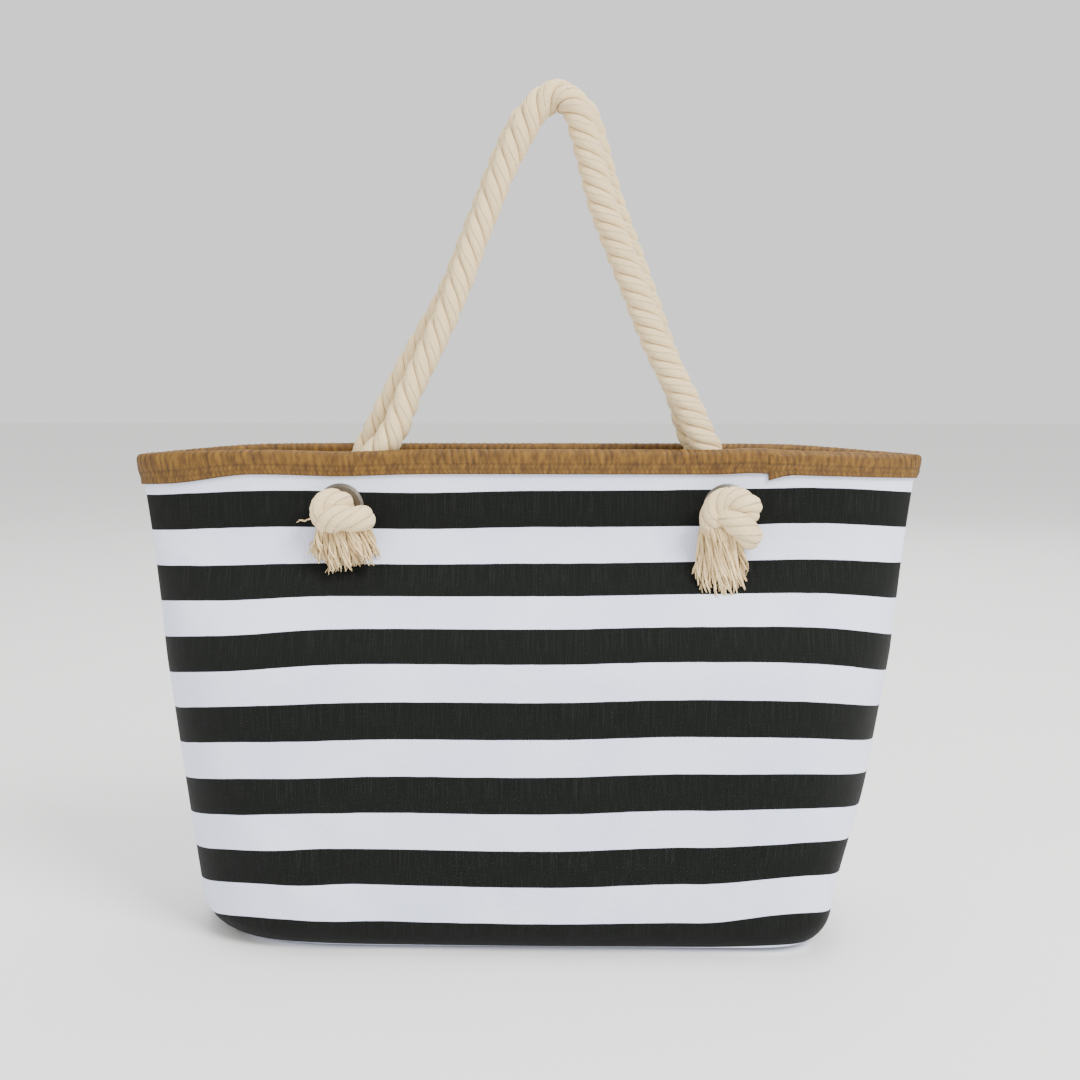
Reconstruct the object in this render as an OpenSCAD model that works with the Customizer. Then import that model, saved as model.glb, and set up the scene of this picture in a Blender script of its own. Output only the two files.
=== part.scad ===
// Striped canvas beach tote with a straw-taped rim and knotted rope handles.
// Millimetres. The bag stands on z = 0, x runs along its length, the front faces -y.

/* [Bag] */
// Length of the flattened mouth, side seam to side seam
mouth_len = 554; // [480:1:620]
// Height of the rim above the floor
bag_h = 342; // [300:1:400]
// Length of the bag where its sides reach the floor curve
base_len = 466; // [400:1:480]
// Depth of the belly, front to back
bag_depth = 164; // [130:1:190]
// Depth of the mouth between the outer faces
mouth_gap = 58; // [56:1:80]
// Radius of the soft edge between wall and base
edge_r = 24; // [16:1:30]
// How far the rim droops at the two side seams
rim_droop = 4; // [0:1:12]

/* [Cloth] */
// Thickness of the striped canvas
canvas_t = 1.2; // [0.8:0.1:2]
// Thickness of the lining
lining_t = 0.6; // [0.4:0.1:1]
// Space between canvas and lining
ply_gap = 1.2; // [1:0.1:2]
// Thickness of the stiffening board in the base
board_t = 2.4; // [1.5:0.1:4]

/* [Rim tape] */
// Height of the straw tape on each face of the rim
tape_h = 17; // [12:1:20]
// Thickness of the straw tape
tape_t = 2.2; // [1.5:0.1:3]
// Where the lapped end of the tape starts, from the middle
lap_x = 166; // [165:1:175]
// Length of the lap
lap_len = 18; // [10:1:30]
// How far the corner of the lapped end hangs below the tape
lap_drop = 4; // [0:1:6]

/* [Rope handles] */
// Diameter of the twisted rope
rope_d = 20; // [16:0.5:21]
// Distance between the two eyelets of one handle
eyelet_span = 268; // [240:1:300]
// Sideways shift of the eyelet pair from the middle of the bag
eyelet_shift = 5.5; // [-8:0.5:8]
// Depth of the eyelet centres below the rim
eyelet_drop = 40; // [38:1:48]
// Outer diameter of the eyelet's flange
eyelet_d = 33; // [31:0.5:36]
// Thickness of the flange
flange_t = 1.6; // [1:0.1:2]
// Wall of the eyelet's barrel
barrel_t = 1.2; // [0.8:0.1:1.6]
// Radial clearance of the rope in the eyelet
rope_clear = 0.3; // [0.1:0.1:1]
// Length of the frayed tassel under a left knot
left_tassel_len = 28; // [20:1:50]
// Length of the frayed tassel under a right knot
right_tassel_len = 38; // [20:1:60]

/* [Closure and pocket] */
// Diameter of the magnetic snap
snap_d = 18; // [14:1:22]
// Depth of the snap's centre below the rim
snap_drop = 29; // [28:1:34]
// Space between the lining and the pocket panel
pocket_gap = 1.2; // [1:0.1:2]
// Width of the zipped pocket inside the back
pocket_w = 180; // [120:5:220]
// Height of the pocket panel
pocket_h = 110; // [80:5:120]
// Depth of the pocket zip below the rim
zip_drop = 80; // [74:1:92]
// Width of one zip tape
zip_tape_w = 11; // [8:1:14]
// Width of the closed zip chain
chain_w = 4; // [3:0.5:6]

/* [Hidden] */

// Clearance between pieces that lie against each other
clear = 0.15;
// Columns across one wall, and rows of its lower edge, its face and its upright neck
columns = 24;
edge_rows = 4;
face_rows = 12;
neck_rows = 3;

// Depths below the outer face of the canvas
lining_d = canvas_t + ply_gap;
wall_t = lining_d + lining_t;
tape_in = wall_t + clear;
// Heights of the layers in the base
board_z = canvas_t + clear;
lining_floor = board_z + board_t + clear;
wall_top = bag_h - tape_t - clear;

// The wall is upright above swell_top, and at its full depth below swell_low
swell_top = bag_h - eyelet_drop - eyelet_d / 2;
swell_low = 0.55 * bag_h;

eyelet_z = bag_h - eyelet_drop;
bore_r = rope_d / 2 + rope_clear;
barrel_r = bore_r + barrel_t;

// The rope stands inside the tape, and its moving arch starts just above the rim
rope_y = wall_point(eyelet_x(1), bag_h - tape_h, tape_in + tape_t, true)[1] - rope_d / 2 - clear;
split_z = bag_h + 4;
apex_y = rope_d / 2 + 2 * clear;

// Routes of the two handles, as [x, height above the split]
front_route = [
    [-98, 0], [-84, 30], [-71, 58], [-58, 85], [-46, 113], [-36, 140], [-25, 167], [-13, 194],
    [-1, 216], [9, 231], [22, 238], [33, 231], [39, 216], [45, 194], [52, 167], [62, 140],
    [73, 113], [84, 85], [96, 58], [111, 30], [125, 0]
];
back_route = [
    [-112, 0], [-97, 30], [-82, 58], [-66, 85], [-51, 113], [-40, 140], [-29, 167], [-18, 194],
    [-7, 216], [6, 232], [23, 239], [37, 232], [45, 216], [51, 194], [59, 167], [69, 140],
    [79, 113], [89, 85], [99, 58], [110, 30], [120, 0]
];

// ---------- Shape of the wall ----------

function lerp(a, b, t) = a + (b - a) * t;
function ease(t) = let (c = min(1, max(0, t))) c * c * (3 - 2 * c);
function flat(rows) = [for (r = rows) each r];

// 0 at the mouth and 1 at the belly
function swell(z) = ease((swell_top - z) / (swell_top - swell_low));
function half_len(z) = lerp(base_len / 2, mouth_len / 2, max(z, 0) / bag_h);
function half_depth(z) = lerp(mouth_gap / 2, bag_depth / 2, swell(z));

// A section is depth (1 - |u|^p)^q: almost flat, with a quicker taper at the mouth than at the belly
function section(u, z) = pow(max(0, 1 - pow(abs(u), lerp(9, 7, swell(z)))), lerp(0.75, 0.58, swell(z)));

// Point of the wall at a place across it (u, -1 to 1), a height, a depth below the outer face and an
// extra inset of the lower edge. With across = true, u is a distance in millimetres.
function wall_point(u, z, d, across = false, inset = 0) =
    let (
        a = half_len(z) - d - inset,
        b = half_depth(z) - d - inset,
        v = across ? u / a : u
    )
    [a * v, b * section(v, z), z - rim_droop * pow(abs(v), 6) * z / bag_h];

// Rows of the wall as [height, inset], from a floor height up the lower edge to the top
function rows(d, floor_z, top) =
    let (start = acos((edge_r - floor_z) / (edge_r - d)))
    concat(
        [for (i = [0:edge_rows])
            let (t = lerp(start, 90, i / edge_rows))
            [edge_r - (edge_r - d) * cos(t), (edge_r - d) * (1 - sin(t))]],
        [for (i = [1:face_rows]) [lerp(edge_r, swell_top, i / face_rows), 0]],
        [for (i = [1:neck_rows]) [lerp(swell_top, top, i / neck_rows), 0]]
    );
function columns_u() = [for (j = [0:columns]) -cos(180 * j / columns)];
function wall_grid(d, floor_z, top) =
    [for (r = rows(d, floor_z, top)) [for (u = columns_u()) wall_point(u, r[0], d, false, r[1])]];
function floor_outline(d, floor_z) =
    let (r = rows(d, floor_z, bag_h)[0], half = [for (u = columns_u()) wall_point(u, r[0], d, false, r[1])])
    concat(
        [for (p = half) [p[0], -p[1]]],
        [for (j = [columns - 1:-1:1]) [half[j][0], half[j][1]]]
    );

// A patch of the wall between two depths, in millimetres across it
function patch_grid(x0, x1, z0, z1, d, drop, nx = 8, nz = 4) =
    [for (i = [0:nz]) [for (j = [0:nx])
        let (p = wall_point(lerp(x0, x1, j / nx), lerp(z0, z1, i / nz), d, true))
        [p[0], p[1], p[2] - drop * (1 - i / nz) * (1 - j / nx)]]];

// ---------- General solids ----------

// A closed sheet between two grids of points of the same size
module sheet(outer, inner) {
    m = len(outer);
    n = len(outer[0]);
    k = m * n;
    face = [for (i = [0:m - 2], j = [0:n - 2]) each
        [[i * n + j, i * n + j + 1, (i + 1) * n + j + 1], [i * n + j, (i + 1) * n + j + 1, (i + 1) * n + j]]];
    rim = concat(
        [for (j = [0:n - 1]) j],
        [for (i = [1:m - 1]) i * n + n - 1],
        [for (j = [n - 2:-1:0]) (m - 1) * n + j],
        [for (i = [m - 2:-1:1]) i * n]
    );
    edge = [for (i = [0:len(rim) - 1])
        let (a = rim[i], b = rim[(i + 1) % len(rim)]) each [[a, a + k, b + k], [a, b + k, b]]];
    polyhedron(
        concat(flat(outer), flat(inner)),
        concat(face, [for (f = face) [f[0] + k, f[2] + k, f[1] + k]], edge)
    );
}

// A closed loop of one cross-section, given as a list of rings
module loop(rings) {
    m = len(rings);
    n = len(rings[0]);
    polyhedron(
        flat(rings),
        [for (i = [0:m - 1], j = [0:n - 1])
            let (
                a = i * n + j,
                b = i * n + (j + 1) % n,
                c = (i + 1) % m * n + (j + 1) % n,
                e = (i + 1) % m * n + j
            )
            each [[a, b, c], [a, c, e]]]
    );
}

function unit(v) = v / norm(v);
// A ring of a round tube about a point p, square to t, with one axis near the direction side_dir
function ring(p, t, r, side_dir, sides) =
    let (e = unit(cross(t, side_dir)), f = cross(e, t))
    [for (k = [0:sides - 1]) p + r * (cos(360 * k / sides) * e + sin(360 * k / sides) * f)];
function tangent(path, i) = unit(path[min(i + 1, len(path) - 1)] - path[max(i - 1, 0)]);

// A round tube along a path that stays about square to side_dir, and square-cut at both ends
module tube(path, r, side_dir, sides = 12) {
    n = len(path);
    rings = [for (i = [0:n - 1]) ring(path[i], tangent(path, i), r, side_dir, sides)];
    polyhedron(
        flat(rings),
        concat(
            [[for (k = [sides - 1:-1:0]) k]],
            [for (i = [0:n - 2], k = [0:sides - 1])
                let (a = i * sides + k, b = i * sides + (k + 1) % sides)
                each [[a, b + sides, a + sides], [a, b, b + sides]]],
            [[for (k = [0:sides - 1]) (n - 1) * sides + k]]
        )
    );
}

module capsule(a, b, r) {
    hull() {
        translate(a) sphere(r, $fn = 20);
        translate(b) sphere(r, $fn = 20);
    }
}

module back() {
    mirror([0, 1, 0]) children();
}

// ---------- Canvas, lining and base ----------

function eyelet_x(side) = eyelet_shift + side * eyelet_span / 2;

module eyelet_holes(r) {
    for (side = [-1, 1])
        translate([eyelet_x(side), 0, eyelet_z])
            rotate([90, 0, 0])
                cylinder(h = mouth_gap, r = r, $fn = 48);
}

// The front wall between two depths. The back wall is its mirror image.
module wall(d0, d1, floor0, floor1) {
    difference() {
        mirror([0, 1, 0])
            sheet(wall_grid(d0, floor0, wall_top), wall_grid(d1, floor1, wall_top));
        eyelet_holes(barrel_r + clear);
    }
}

module canvas_wall() {
    color("whitesmoke") wall(0, canvas_t, 0, canvas_t);
}

module lining_wall() {
    color("beige") wall(lining_d, wall_t, lining_floor, lining_floor + lining_t);
}

module base_canvas() {
    color("whitesmoke") linear_extrude(canvas_t) polygon(floor_outline(0, 0));
}

module base_lining() {
    color("beige")
        translate([0, 0, lining_floor])
            linear_extrude(lining_t) polygon(floor_outline(wall_t + clear, lining_floor + lining_t));
}

module base_board() {
    color("dimgray")
        translate([0, 0, board_z])
            linear_extrude(board_t) polygon(floor_outline(canvas_t + clear, board_z));
}

// ---------- Rim tape ----------

// Cross-section of the folded tape as [depth below the canvas face, depth below the rim]
tape_section = [
    [-tape_t - clear, tape_h], [-tape_t - clear, 3], [-tape_t / 2 - clear, 0.6], [wall_t / 2, 0],
    [tape_in + tape_t / 2, 0.6], [tape_in + tape_t, 3], [tape_in + tape_t, tape_h],
    [tape_in, tape_h], [tape_in, tape_t], [-clear, tape_t], [-clear, tape_h]
];

function tape_ring(u, side) =
    [for (s = tape_section) let (p = wall_point(u, bag_h - s[1], s[0])) [p[0], side * p[1], p[2]]];

module rim_tape() {
    color("peru")
        loop(concat(
            [for (u = columns_u()) tape_ring(u, -1)],
            [for (j = [columns - 1:-1:1]) tape_ring(columns_u()[j], 1)]
        ));
}

// The end of the tape, lapped over its own start on the front
module rim_tape_lap() {
    out = -tape_t - 2 * clear;
    end_x = lap_x + lap_len;
    low_z = bag_h - tape_h;
    top_z = bag_h - 3;
    color("peru")
        mirror([0, 1, 0])
            sheet(
                patch_grid(lap_x, end_x, low_z, top_z, out - tape_t / 2, lap_drop, 4, 3),
                patch_grid(lap_x, end_x, low_z, top_z, out, lap_drop, 4, 3)
            );
}

// ---------- Eyelets ----------

// Depth coordinates of the canvas and lining faces at an eyelet
function face_y(side, d) = wall_point(eyelet_x(side), eyelet_z, d, true)[1];

module at_eyelet(side, d) {
    translate([eyelet_x(side), -face_y(side, d), eyelet_z]) rotate([90, 0, 0]) children();
}

module eyelet(side) {
    color("silver")
        at_eyelet(side, 0)
            rotate_extrude($fn = 64)
                polygon([
                    [bore_r, -wall_t - flange_t], [barrel_r, -wall_t - flange_t], [barrel_r, clear],
                    [eyelet_d / 2, clear], [eyelet_d / 2, flange_t / 2], [eyelet_d / 2 - 2, flange_t],
                    [bore_r + 1, flange_t], [bore_r, flange_t - 0.6]
                ]);
}

module washer(side) {
    color("silver")
        at_eyelet(side, wall_t + clear + flange_t / 2)
            difference() {
                cylinder(h = flange_t / 2, r = eyelet_d / 2 - 1, $fn = 64);
                translate([0, 0, -1]) cylinder(h = flange_t + 2, r = barrel_r + clear / 2, $fn = 64);
            }
}

// ---------- Rope handles ----------

flange_y = face_y(1, 0) + flange_t + clear;

// Bend of the rope behind the eyelet, on its centreline
bend_r = rope_d / 2 + 1;
bend_steps = 6;

// Where the rope's straight rise to the rim starts
function foot(side) = [eyelet_x(side), -rope_y, eyelet_z + bend_r];

// The rope from the knot, through the eyelet and up inside the wall to the rim
module rope_end(side, top) {
    x = eyelet_x(side);
    split = [top[0], -rope_y, split_z];
    end = split - 2 * clear * unit(split - foot(side));
    path = concat(
        [[x, -flange_y, eyelet_z]],
        [for (i = [0:bend_steps])
            let (t = 90 * i / bend_steps)
            [x, -rope_y - bend_r * (1 - sin(t)), eyelet_z + bend_r * (1 - cos(t))]],
        [end - 8 * unit(end - foot(side)), end]
    );
    color("antiquewhite") tube(path, rope_d / 2, [1, 0, 0]);
}

// Rope route in space: upright at the rim, leaning in until the two ropes meet at the top
function handle_path(route) =
    let (
        top = max([for (p = route) p[1]]),
        rise = [for (p = route) [p[0], -lerp(rope_y, apex_y, p[1] / top), split_z + p[1]]],
        n = len(rise)
    )
    // The first and last stretches keep the direction of the rope below the rim
    concat(
        [rise[0], rise[0] + 8 * unit(rise[0] - foot(-1))],
        [for (i = [1:n - 2]) rise[i]],
        [rise[n - 1] + 8 * unit(rise[n - 1] - foot(1)), rise[n - 1]]
    );

module handle_rope(route) {
    color("antiquewhite") tube(handle_path(route), rope_d / 2, [0, 1, 0]);
}

// A knot is two fat turns of the rope, as [from, to, radius] about the eyelet's centre, in rope diameters
left_turns = [
    [[-0.45, -0.77, 0.15], [-0.05, -0.82, 0.15], 0.65],
    [[0, -0.92, -0.2], [0.65, -0.82, -0.15], 0.55]
];
right_turns = [
    [[-0.05, -0.82, 0.1], [0.25, -0.82, 0.1], 0.75],
    [[0.3, -0.97, -0.25], [0.75, -0.77, -0.55], 0.5]
];
function turns(side) = side < 0 ? left_turns : right_turns;
function knot_low(side) = rope_d * min([for (t = turns(side)) min(t[0][2], t[1][2]) - t[2]]);

module knot(side) {
    color("antiquewhite")
        translate([eyelet_x(side), -flange_y, eyelet_z])
            difference() {
                for (t = turns(side)) capsule(t[0] * rope_d, t[1] * rope_d, t[2] * rope_d);
                translate([-2.5, 0, -2.5] * rope_d) cube([5, 2.5, 5] * rope_d);
            }
}

module tassel(side) {
    top_z = knot_low(side) - 2 * clear;
    middle = side < 0 ? 2 : -4;
    tip_r = 6;
    low = top_z - (side < 0 ? left_tassel_len : right_tassel_len) + tip_r;
    root_y = flange_y + 13;
    tip_y = wall_point(eyelet_x(side), eyelet_z + low - tip_r, 0, true)[1] + tip_r + 2 * clear;
    color("wheat")
        translate([eyelet_x(side) + middle, 0, eyelet_z])
            hull() {
                for (x = [-10, 10]) translate([x, -root_y, top_z - 2]) cylinder(h = 2, r = 8, $fn = 24);
                for (x = [-16, 16]) translate([x, -tip_y, low]) sphere(tip_r, $fn = 20);
            }
}

// ---------- Magnetic snap ----------

snap_z = bag_h - snap_drop;

module snap_disc(d, h, r) {
    translate([0, -half_depth(snap_z) + d, snap_z]) rotate([-90, 0, 0]) cylinder(h = h, r = r, $fn = 48);
}

module snap_stud() {
    color("silver") {
        snap_disc(wall_t + clear / 2, 1.4, snap_d / 2);
        snap_disc(wall_t + clear / 2, 3, snap_d / 6);
    }
}

module snap_socket() {
    color("silver")
        back()
            difference() {
                snap_disc(wall_t + clear / 2, 3, snap_d / 2);
                snap_disc(wall_t + 1, 4, snap_d / 6 + 0.3);
            }
}

module snap_plate() {
    color("dimgray") snap_disc(canvas_t + clear, ply_gap - 2 * clear, snap_d / 2 - 1);
}

// ---------- Zipped pocket inside the back ----------

zip_z = bag_h - zip_drop;
zip_d = wall_t + pocket_gap;
zip_t = 0.6;
slider_len = 11;
slider_home = pocket_w / 2 - 14;
zip_slope = atan2(
    wall_point(0, zip_z - 3, zip_d, true)[1] - wall_point(0, zip_z + 3, zip_d, true)[1], 6
);

module pocket_patch(z0, z1, x = pocket_w / 2, nz = 4) {
    sheet(patch_grid(-x, x, z0, z1, zip_d, 0, 8, nz), patch_grid(-x, x, z0, z1, zip_d + zip_t, 0, 8, nz));
}

module pocket_panel() {
    top = zip_z - chain_w / 2 - zip_tape_w - clear;
    color("beige") pocket_patch(top - pocket_h, top, pocket_w / 2, 6);
}

module pocket_zip_lower_tape() {
    color("gray") pocket_patch(zip_z - chain_w / 2 - zip_tape_w, zip_z - chain_w / 2 - clear);
}

module pocket_zip_upper_tape() {
    color("gray") pocket_patch(zip_z + chain_w / 2 + clear, zip_z + chain_w / 2 + zip_tape_w);
}

// Frame on the lining at the zip: x along it, z up the wall, -y into the bag
module at_zip(x = 0) {
    translate([x, wall_point(0, zip_z, zip_d, true)[1], zip_z]) rotate([zip_slope, 0, 0]) children();
}

chain_t = 1.6;

module pocket_zip_chain() {
    color("silver")
        at_zip()
            translate([-pocket_w / 2 + 6, -chain_t - 0.3, -chain_w / 2 + 0.3])
                cube([pocket_w - 12, chain_t, chain_w - 0.6]);
}

module pocket_zip_stops() {
    color("silver")
        for (side = [-1, 1])
            at_zip(side * (pocket_w / 2 - 4))
                translate([-1.5, -chain_t - 0.8, -chain_w / 2 + 0.3])
                    cube([3, chain_t + 0.5, chain_w - 0.6]);
}

// The slider rides over the chain on two side flanges, with a bridge for its pull
module pocket_zip_slider() {
    width = chain_w + 4;
    low = -chain_t - 0.7;
    color("silver")
        at_zip(slider_home) {
            translate([-slider_len / 2, low - 1.2, -width / 2]) cube([slider_len, 1.2, width]);
            for (side = [-1, 1])
                translate([-slider_len / 2, low, side * (width / 2 - 0.6) - 0.6])
                    cube([slider_len, 0.6, 1.2]);
            for (x = [-3.4, 3.4])
                translate([x - 0.7, low - 4.2, -1]) cube([1.4, 3.1, 2]);
            translate([-4.1, low - 5.2, -1]) cube([8.2, 1.2, 2]);
        }
}

// The pull turns on its cross bar under the slider's bridge
pull_y = -chain_t - 0.7 - 2.7;

module pocket_zip_pull() {
    color("silver")
        at_zip(slider_home)
            translate([0, pull_y, 0]) {
                translate([0, 0, -3]) cylinder(h = 6, r = 0.9, $fn = 24);
                for (side = [-1, 1])
                    translate([-8, -0.6, side * 2.6 - 0.8]) cube([8, 1.2, 1.6]);
                translate([-26, -0.6, -3.4]) cube([18.5, 1.2, 6.8]);
            }
}

// ---------- Nodes ----------

canvas_wall();  // front_canvas
back() canvas_wall();  // back_canvas
base_canvas();
lining_wall();  // front_lining
back() lining_wall();  // back_lining
base_lining();
base_board();
rim_tape();
rim_tape_lap();
eyelet(-1);  // front_left_eyelet
eyelet(1);  // front_right_eyelet
back() eyelet(-1);  // back_left_eyelet
back() eyelet(1);  // back_right_eyelet
washer(-1);  // front_left_washer
washer(1);  // front_right_washer
back() washer(-1);  // back_left_washer
back() washer(1);  // back_right_washer
rope_end(-1, front_route[0]);  // front_left_rope_end
rope_end(1, front_route[len(front_route) - 1]);  // front_right_rope_end
back() rope_end(-1, back_route[0]);  // back_left_rope_end
back() rope_end(1, back_route[len(back_route) - 1]);  // back_right_rope_end
knot(-1);  // front_left_knot
knot(1);  // front_right_knot
back() knot(-1);  // back_left_knot
back() knot(1);  // back_right_knot
tassel(-1);  // front_left_tassel
tassel(1);  // front_right_tassel
back() tassel(-1);  // back_left_tassel
back() tassel(1);  // back_right_tassel
handle_rope(front_route);  // front_handle_rope
back() handle_rope(back_route);  // back_handle_rope
snap_stud();
snap_socket();
snap_plate();  // snap_stud_plate
back() snap_plate();  // snap_socket_plate
pocket_panel();
pocket_zip_upper_tape();
pocket_zip_lower_tape();
pocket_zip_chain();
pocket_zip_stops();
pocket_zip_slider();
pocket_zip_pull();
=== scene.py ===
"""A striped canvas beach tote with a straw-taped rim and knotted rope handles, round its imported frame."""
import math

import bpy
import numpy as np
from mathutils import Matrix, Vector


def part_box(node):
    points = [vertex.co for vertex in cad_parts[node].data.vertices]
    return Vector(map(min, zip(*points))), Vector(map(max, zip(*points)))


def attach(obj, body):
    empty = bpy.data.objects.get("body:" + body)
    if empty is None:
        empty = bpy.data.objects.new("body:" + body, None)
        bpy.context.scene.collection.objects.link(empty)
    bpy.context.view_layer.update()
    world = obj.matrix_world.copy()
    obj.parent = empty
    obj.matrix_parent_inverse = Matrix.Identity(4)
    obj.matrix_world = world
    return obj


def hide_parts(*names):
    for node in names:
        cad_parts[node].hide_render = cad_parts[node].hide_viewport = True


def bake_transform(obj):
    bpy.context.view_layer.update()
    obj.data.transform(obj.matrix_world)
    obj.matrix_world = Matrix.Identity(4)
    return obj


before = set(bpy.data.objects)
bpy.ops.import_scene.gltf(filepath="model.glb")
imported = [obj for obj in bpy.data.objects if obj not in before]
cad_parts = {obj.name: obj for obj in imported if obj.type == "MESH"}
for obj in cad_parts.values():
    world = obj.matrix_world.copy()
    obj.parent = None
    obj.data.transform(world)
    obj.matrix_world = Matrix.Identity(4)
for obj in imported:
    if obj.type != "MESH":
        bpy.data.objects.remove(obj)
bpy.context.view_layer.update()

bl_info = {
    "name": "Striped Beach Tote",
    "version": (1, 0, 0),
    "blender": (4, 5, 0),
    "location": "View3D > Sidebar > Tote",
    "description": "Builds the cloth, straw tape, ropes and fittings of a striped beach tote",
    "category": "Object",
}

MM = 0.001
SIDES = ("front", "back")
HANDS = ("left", "right")
CORNERS = [f"{side}_{hand}" for side in SIDES for hand in HANDS]
# Turns a point of the front into the matching one of the back
TO_BACK = np.array([1, -1, 1])


# ---------- Sizes read back from the frame ----------

def box(node):
    """Lowest and highest corner of a CAD node as numpy arrays, in metres."""
    return tuple(np.array(corner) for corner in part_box(node))


TAPE = box("rim_tape")
CANVAS = box("front_canvas")
FLOOR = box("base_canvas")
LINING_FLOOR = box("base_lining")
EYELETS = {hand: box(f"front_{hand}_eyelet") for hand in HANDS}
LAP = box("rim_tape_lap")

CLEAR = 0.15 * MM
CANVAS_T = FLOOR[1][2] - FLOOR[0][2]
LINING_T = LINING_FLOOR[1][2] - LINING_FLOOR[0][2]
PLY_GAP = 1.2 * MM
LINING_DEPTH = CANVAS_T + PLY_GAP
WALL_T = LINING_DEPTH + LINING_T
EDGE_R = 24 * MM
HOLE_R = 12.6 * MM
RIM_Z = TAPE[1][2]
TAPE_T = 2.2 * MM
CLOTH_TOP = RIM_Z - TAPE_T
TAPE_H = 17 * MM
BASE_HALF = FLOOR[1][0] + EDGE_R
MOUTH_HALF = BASE_HALF + (CANVAS[1][0] - BASE_HALF) * RIM_Z / CANVAS[1][2]
BELLY_HALF = -CANVAS[0][1]
NECK_HALF = -TAPE[0][1] - TAPE_T - CLEAR
EYELET_Z = (EYELETS["left"][0][2] + EYELETS["left"][1][2]) / 2
EYELET_X = {hand: (low[0] + high[0]) / 2 for hand, (low, high) in EYELETS.items()}

# Heights where the neck starts to swell and where the belly is full
SWELL_UP = (EYELETS["left"][0][2], 0.55 * RIM_Z)
# Power pairs of the section, depth (1 - |u|^p)^q: at the neck, at the belly, and what the square corner adds
NECK_POWERS = (9.0, 0.75)
BELLY_POWERS = (7.0, 0.58)
CORNER_POWERS = (9.0, -0.18)
# The square corner starts and is full at these shares of the half length and at these heights
CORNER_ALONG = (0.35, 0.75)
CORNER_UP = (0.12, 0.02)
RIM_DROOP = 4 * MM
DROOP_POWER = 6

# Rows and columns of the cloth's grids
FACE_ROWS, EDGE_ROWS, BASE_ROWS = 130, 20, 31
CANVAS_COLUMNS, LINING_COLUMNS = 241, 161

# Sag of the standing cloth. Steps are (start, full) and bells (middle, width), in metres.
# The side at the lower right is drawn in by an even slope from this height down, and by a short step
DRAWN_SLOPE, DRAWN_FROM = 9 * MM, 0.2
DRAWN_STEP, DRAWN_UP = 18 * MM, (0.115, 0.025)
# Folds fade out under the eyelets, at the floor and near the side seams
FOLDS_TOP, FOLDS_FLOOR, FOLDS_SIDE = (0.268, 0.208), (0, 0.02), (0.97, 0.85)
# Long folds: millimetres out, lean in x per z, wave length, phase, middle and width in height
LONG_FOLDS = [(1.6, 0.35, 0.21, 0.9, 0.10, 0.08), (0.9, 0, 0.135, 2.1, 0.225, 0.05)]
# Dents: millimetres out, lean in x per z, middle and width across, middle and width in height
DENTS = [
    (2.6, 0.8, -0.115, 0.020, 0.055, 0.050),
    (-1.8, 0.8, -0.075, 0.024, 0.060, 0.060),
    (1.3, -0.7, 0.120, 0.022, 0.085, 0.060),
]
# The rim rises and dips over its top band: millimetres up, middle and width across
RIM_BAND = (RIM_Z - 24 * MM, RIM_Z - 16 * MM)
RIM_DIPS = [(-0.8, -MOUTH_HALF, 0.16 * MOUTH_HALF), (-0.8, 0.245, 0.05)]
FRONT_RIM_DIPS = [(-1.6, EYELET_X["left"], 0.035), (1.2, EYELET_X["right"] + 0.018, 0.018)]
BACK_RIM_RISE, BACK_RISE_SIDE = 2.0 * MM, (0.95, 0.65)
# Half of the bag's depth over which front changes to back, and the groove along the side seams
TURN_DEPTH = 20 * MM
SEAM_DEPTH, SEAM_WIDTH, SEAM_ALONG = 1.5 * MM, 2.2 * MM, (0.6, 0.7)
SEAM_TOP, SEAM_FLOOR = (RIM_Z - TAPE_H, RIM_Z - TAPE_H - 4 * MM), (0, 6 * MM)
# Shifts of the weave along the cloth, as for the dents and the long folds, and two on the right
SHIFTS = [
    (1.4, 0, 0.20, 0.06, 0.26, 0.05),
    (-4.2, 0, -0.20, 0.045, 0.215, 0.045),
    (-2.6, 0, -0.155, 0.05, 0.13, 0.06),
    (3.2, 0, -0.205, 0.045, 0.02, 0.035),
]
LONG_SHIFTS = [(0.9, 0, 0.19, 1.0, 0.30, 0.05)]
RIGHT_SHIFT, RIGHT_SHIFT_ALONG, RIGHT_SHIFT_UP = 2.4 * MM, (0.02, 0.12), (0, 0.06)
LOW_SHIFT, LOW_SHIFT_ALONG, LOW_SHIFT_BELL = 12.0 * MM, (0.12, 0.22), (0.035, 0.075)


# ---------- Settings ----------

def hex_colour(code):
    """sRGB hex to linear with alpha: each channel is c/12.92 below 0.04045, else ((c+0.055)/1.055)^2.4."""
    parts = [int(code[i:i + 2], 16) / 255 for i in (0, 2, 4)]
    return tuple(c / 12.92 if c <= 0.04045 else ((c + 0.055) / 1.055) ** 2.4 for c in parts) + (1.0,)


def colour_property(name, description, code):
    """A colour setting with four channels, from a hex code."""
    return bpy.props.FloatVectorProperty(
        name=name, description=description, default=hex_colour(code), subtype="COLOR", size=4, min=0, max=1)


def length_property(name, description, metres):
    """A length setting in metres."""
    return bpy.props.FloatProperty(
        name=name, description=description, default=metres, unit="LENGTH", precision=5)


def angle_property(name, description, degrees):
    """An angle setting, from degrees."""
    return bpy.props.FloatProperty(
        name=name, description=description, default=math.radians(degrees), subtype="ANGLE")


class TOTE_PG_cloth(bpy.types.PropertyGroup):
    """Canvas and lining"""
    stripe: length_property("Stripe", "Width of one woven stripe", 25.4 * MM)
    first_stripe: length_property("First stripe", "From the rim to the first black stripe", 29.2 * MM)
    thread: length_property("Thread", "Thread spacing, coarser than the real 0.5 mm to show", 0.95 * MM)
    white: colour_property("White", "Bleached canvas", "E6EBFC")
    black: colour_property("Black", "Black woven stripe", "0F110F")
    lining: colour_property("Lining", "Plain cotton lining", "D9D2C3")


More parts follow.
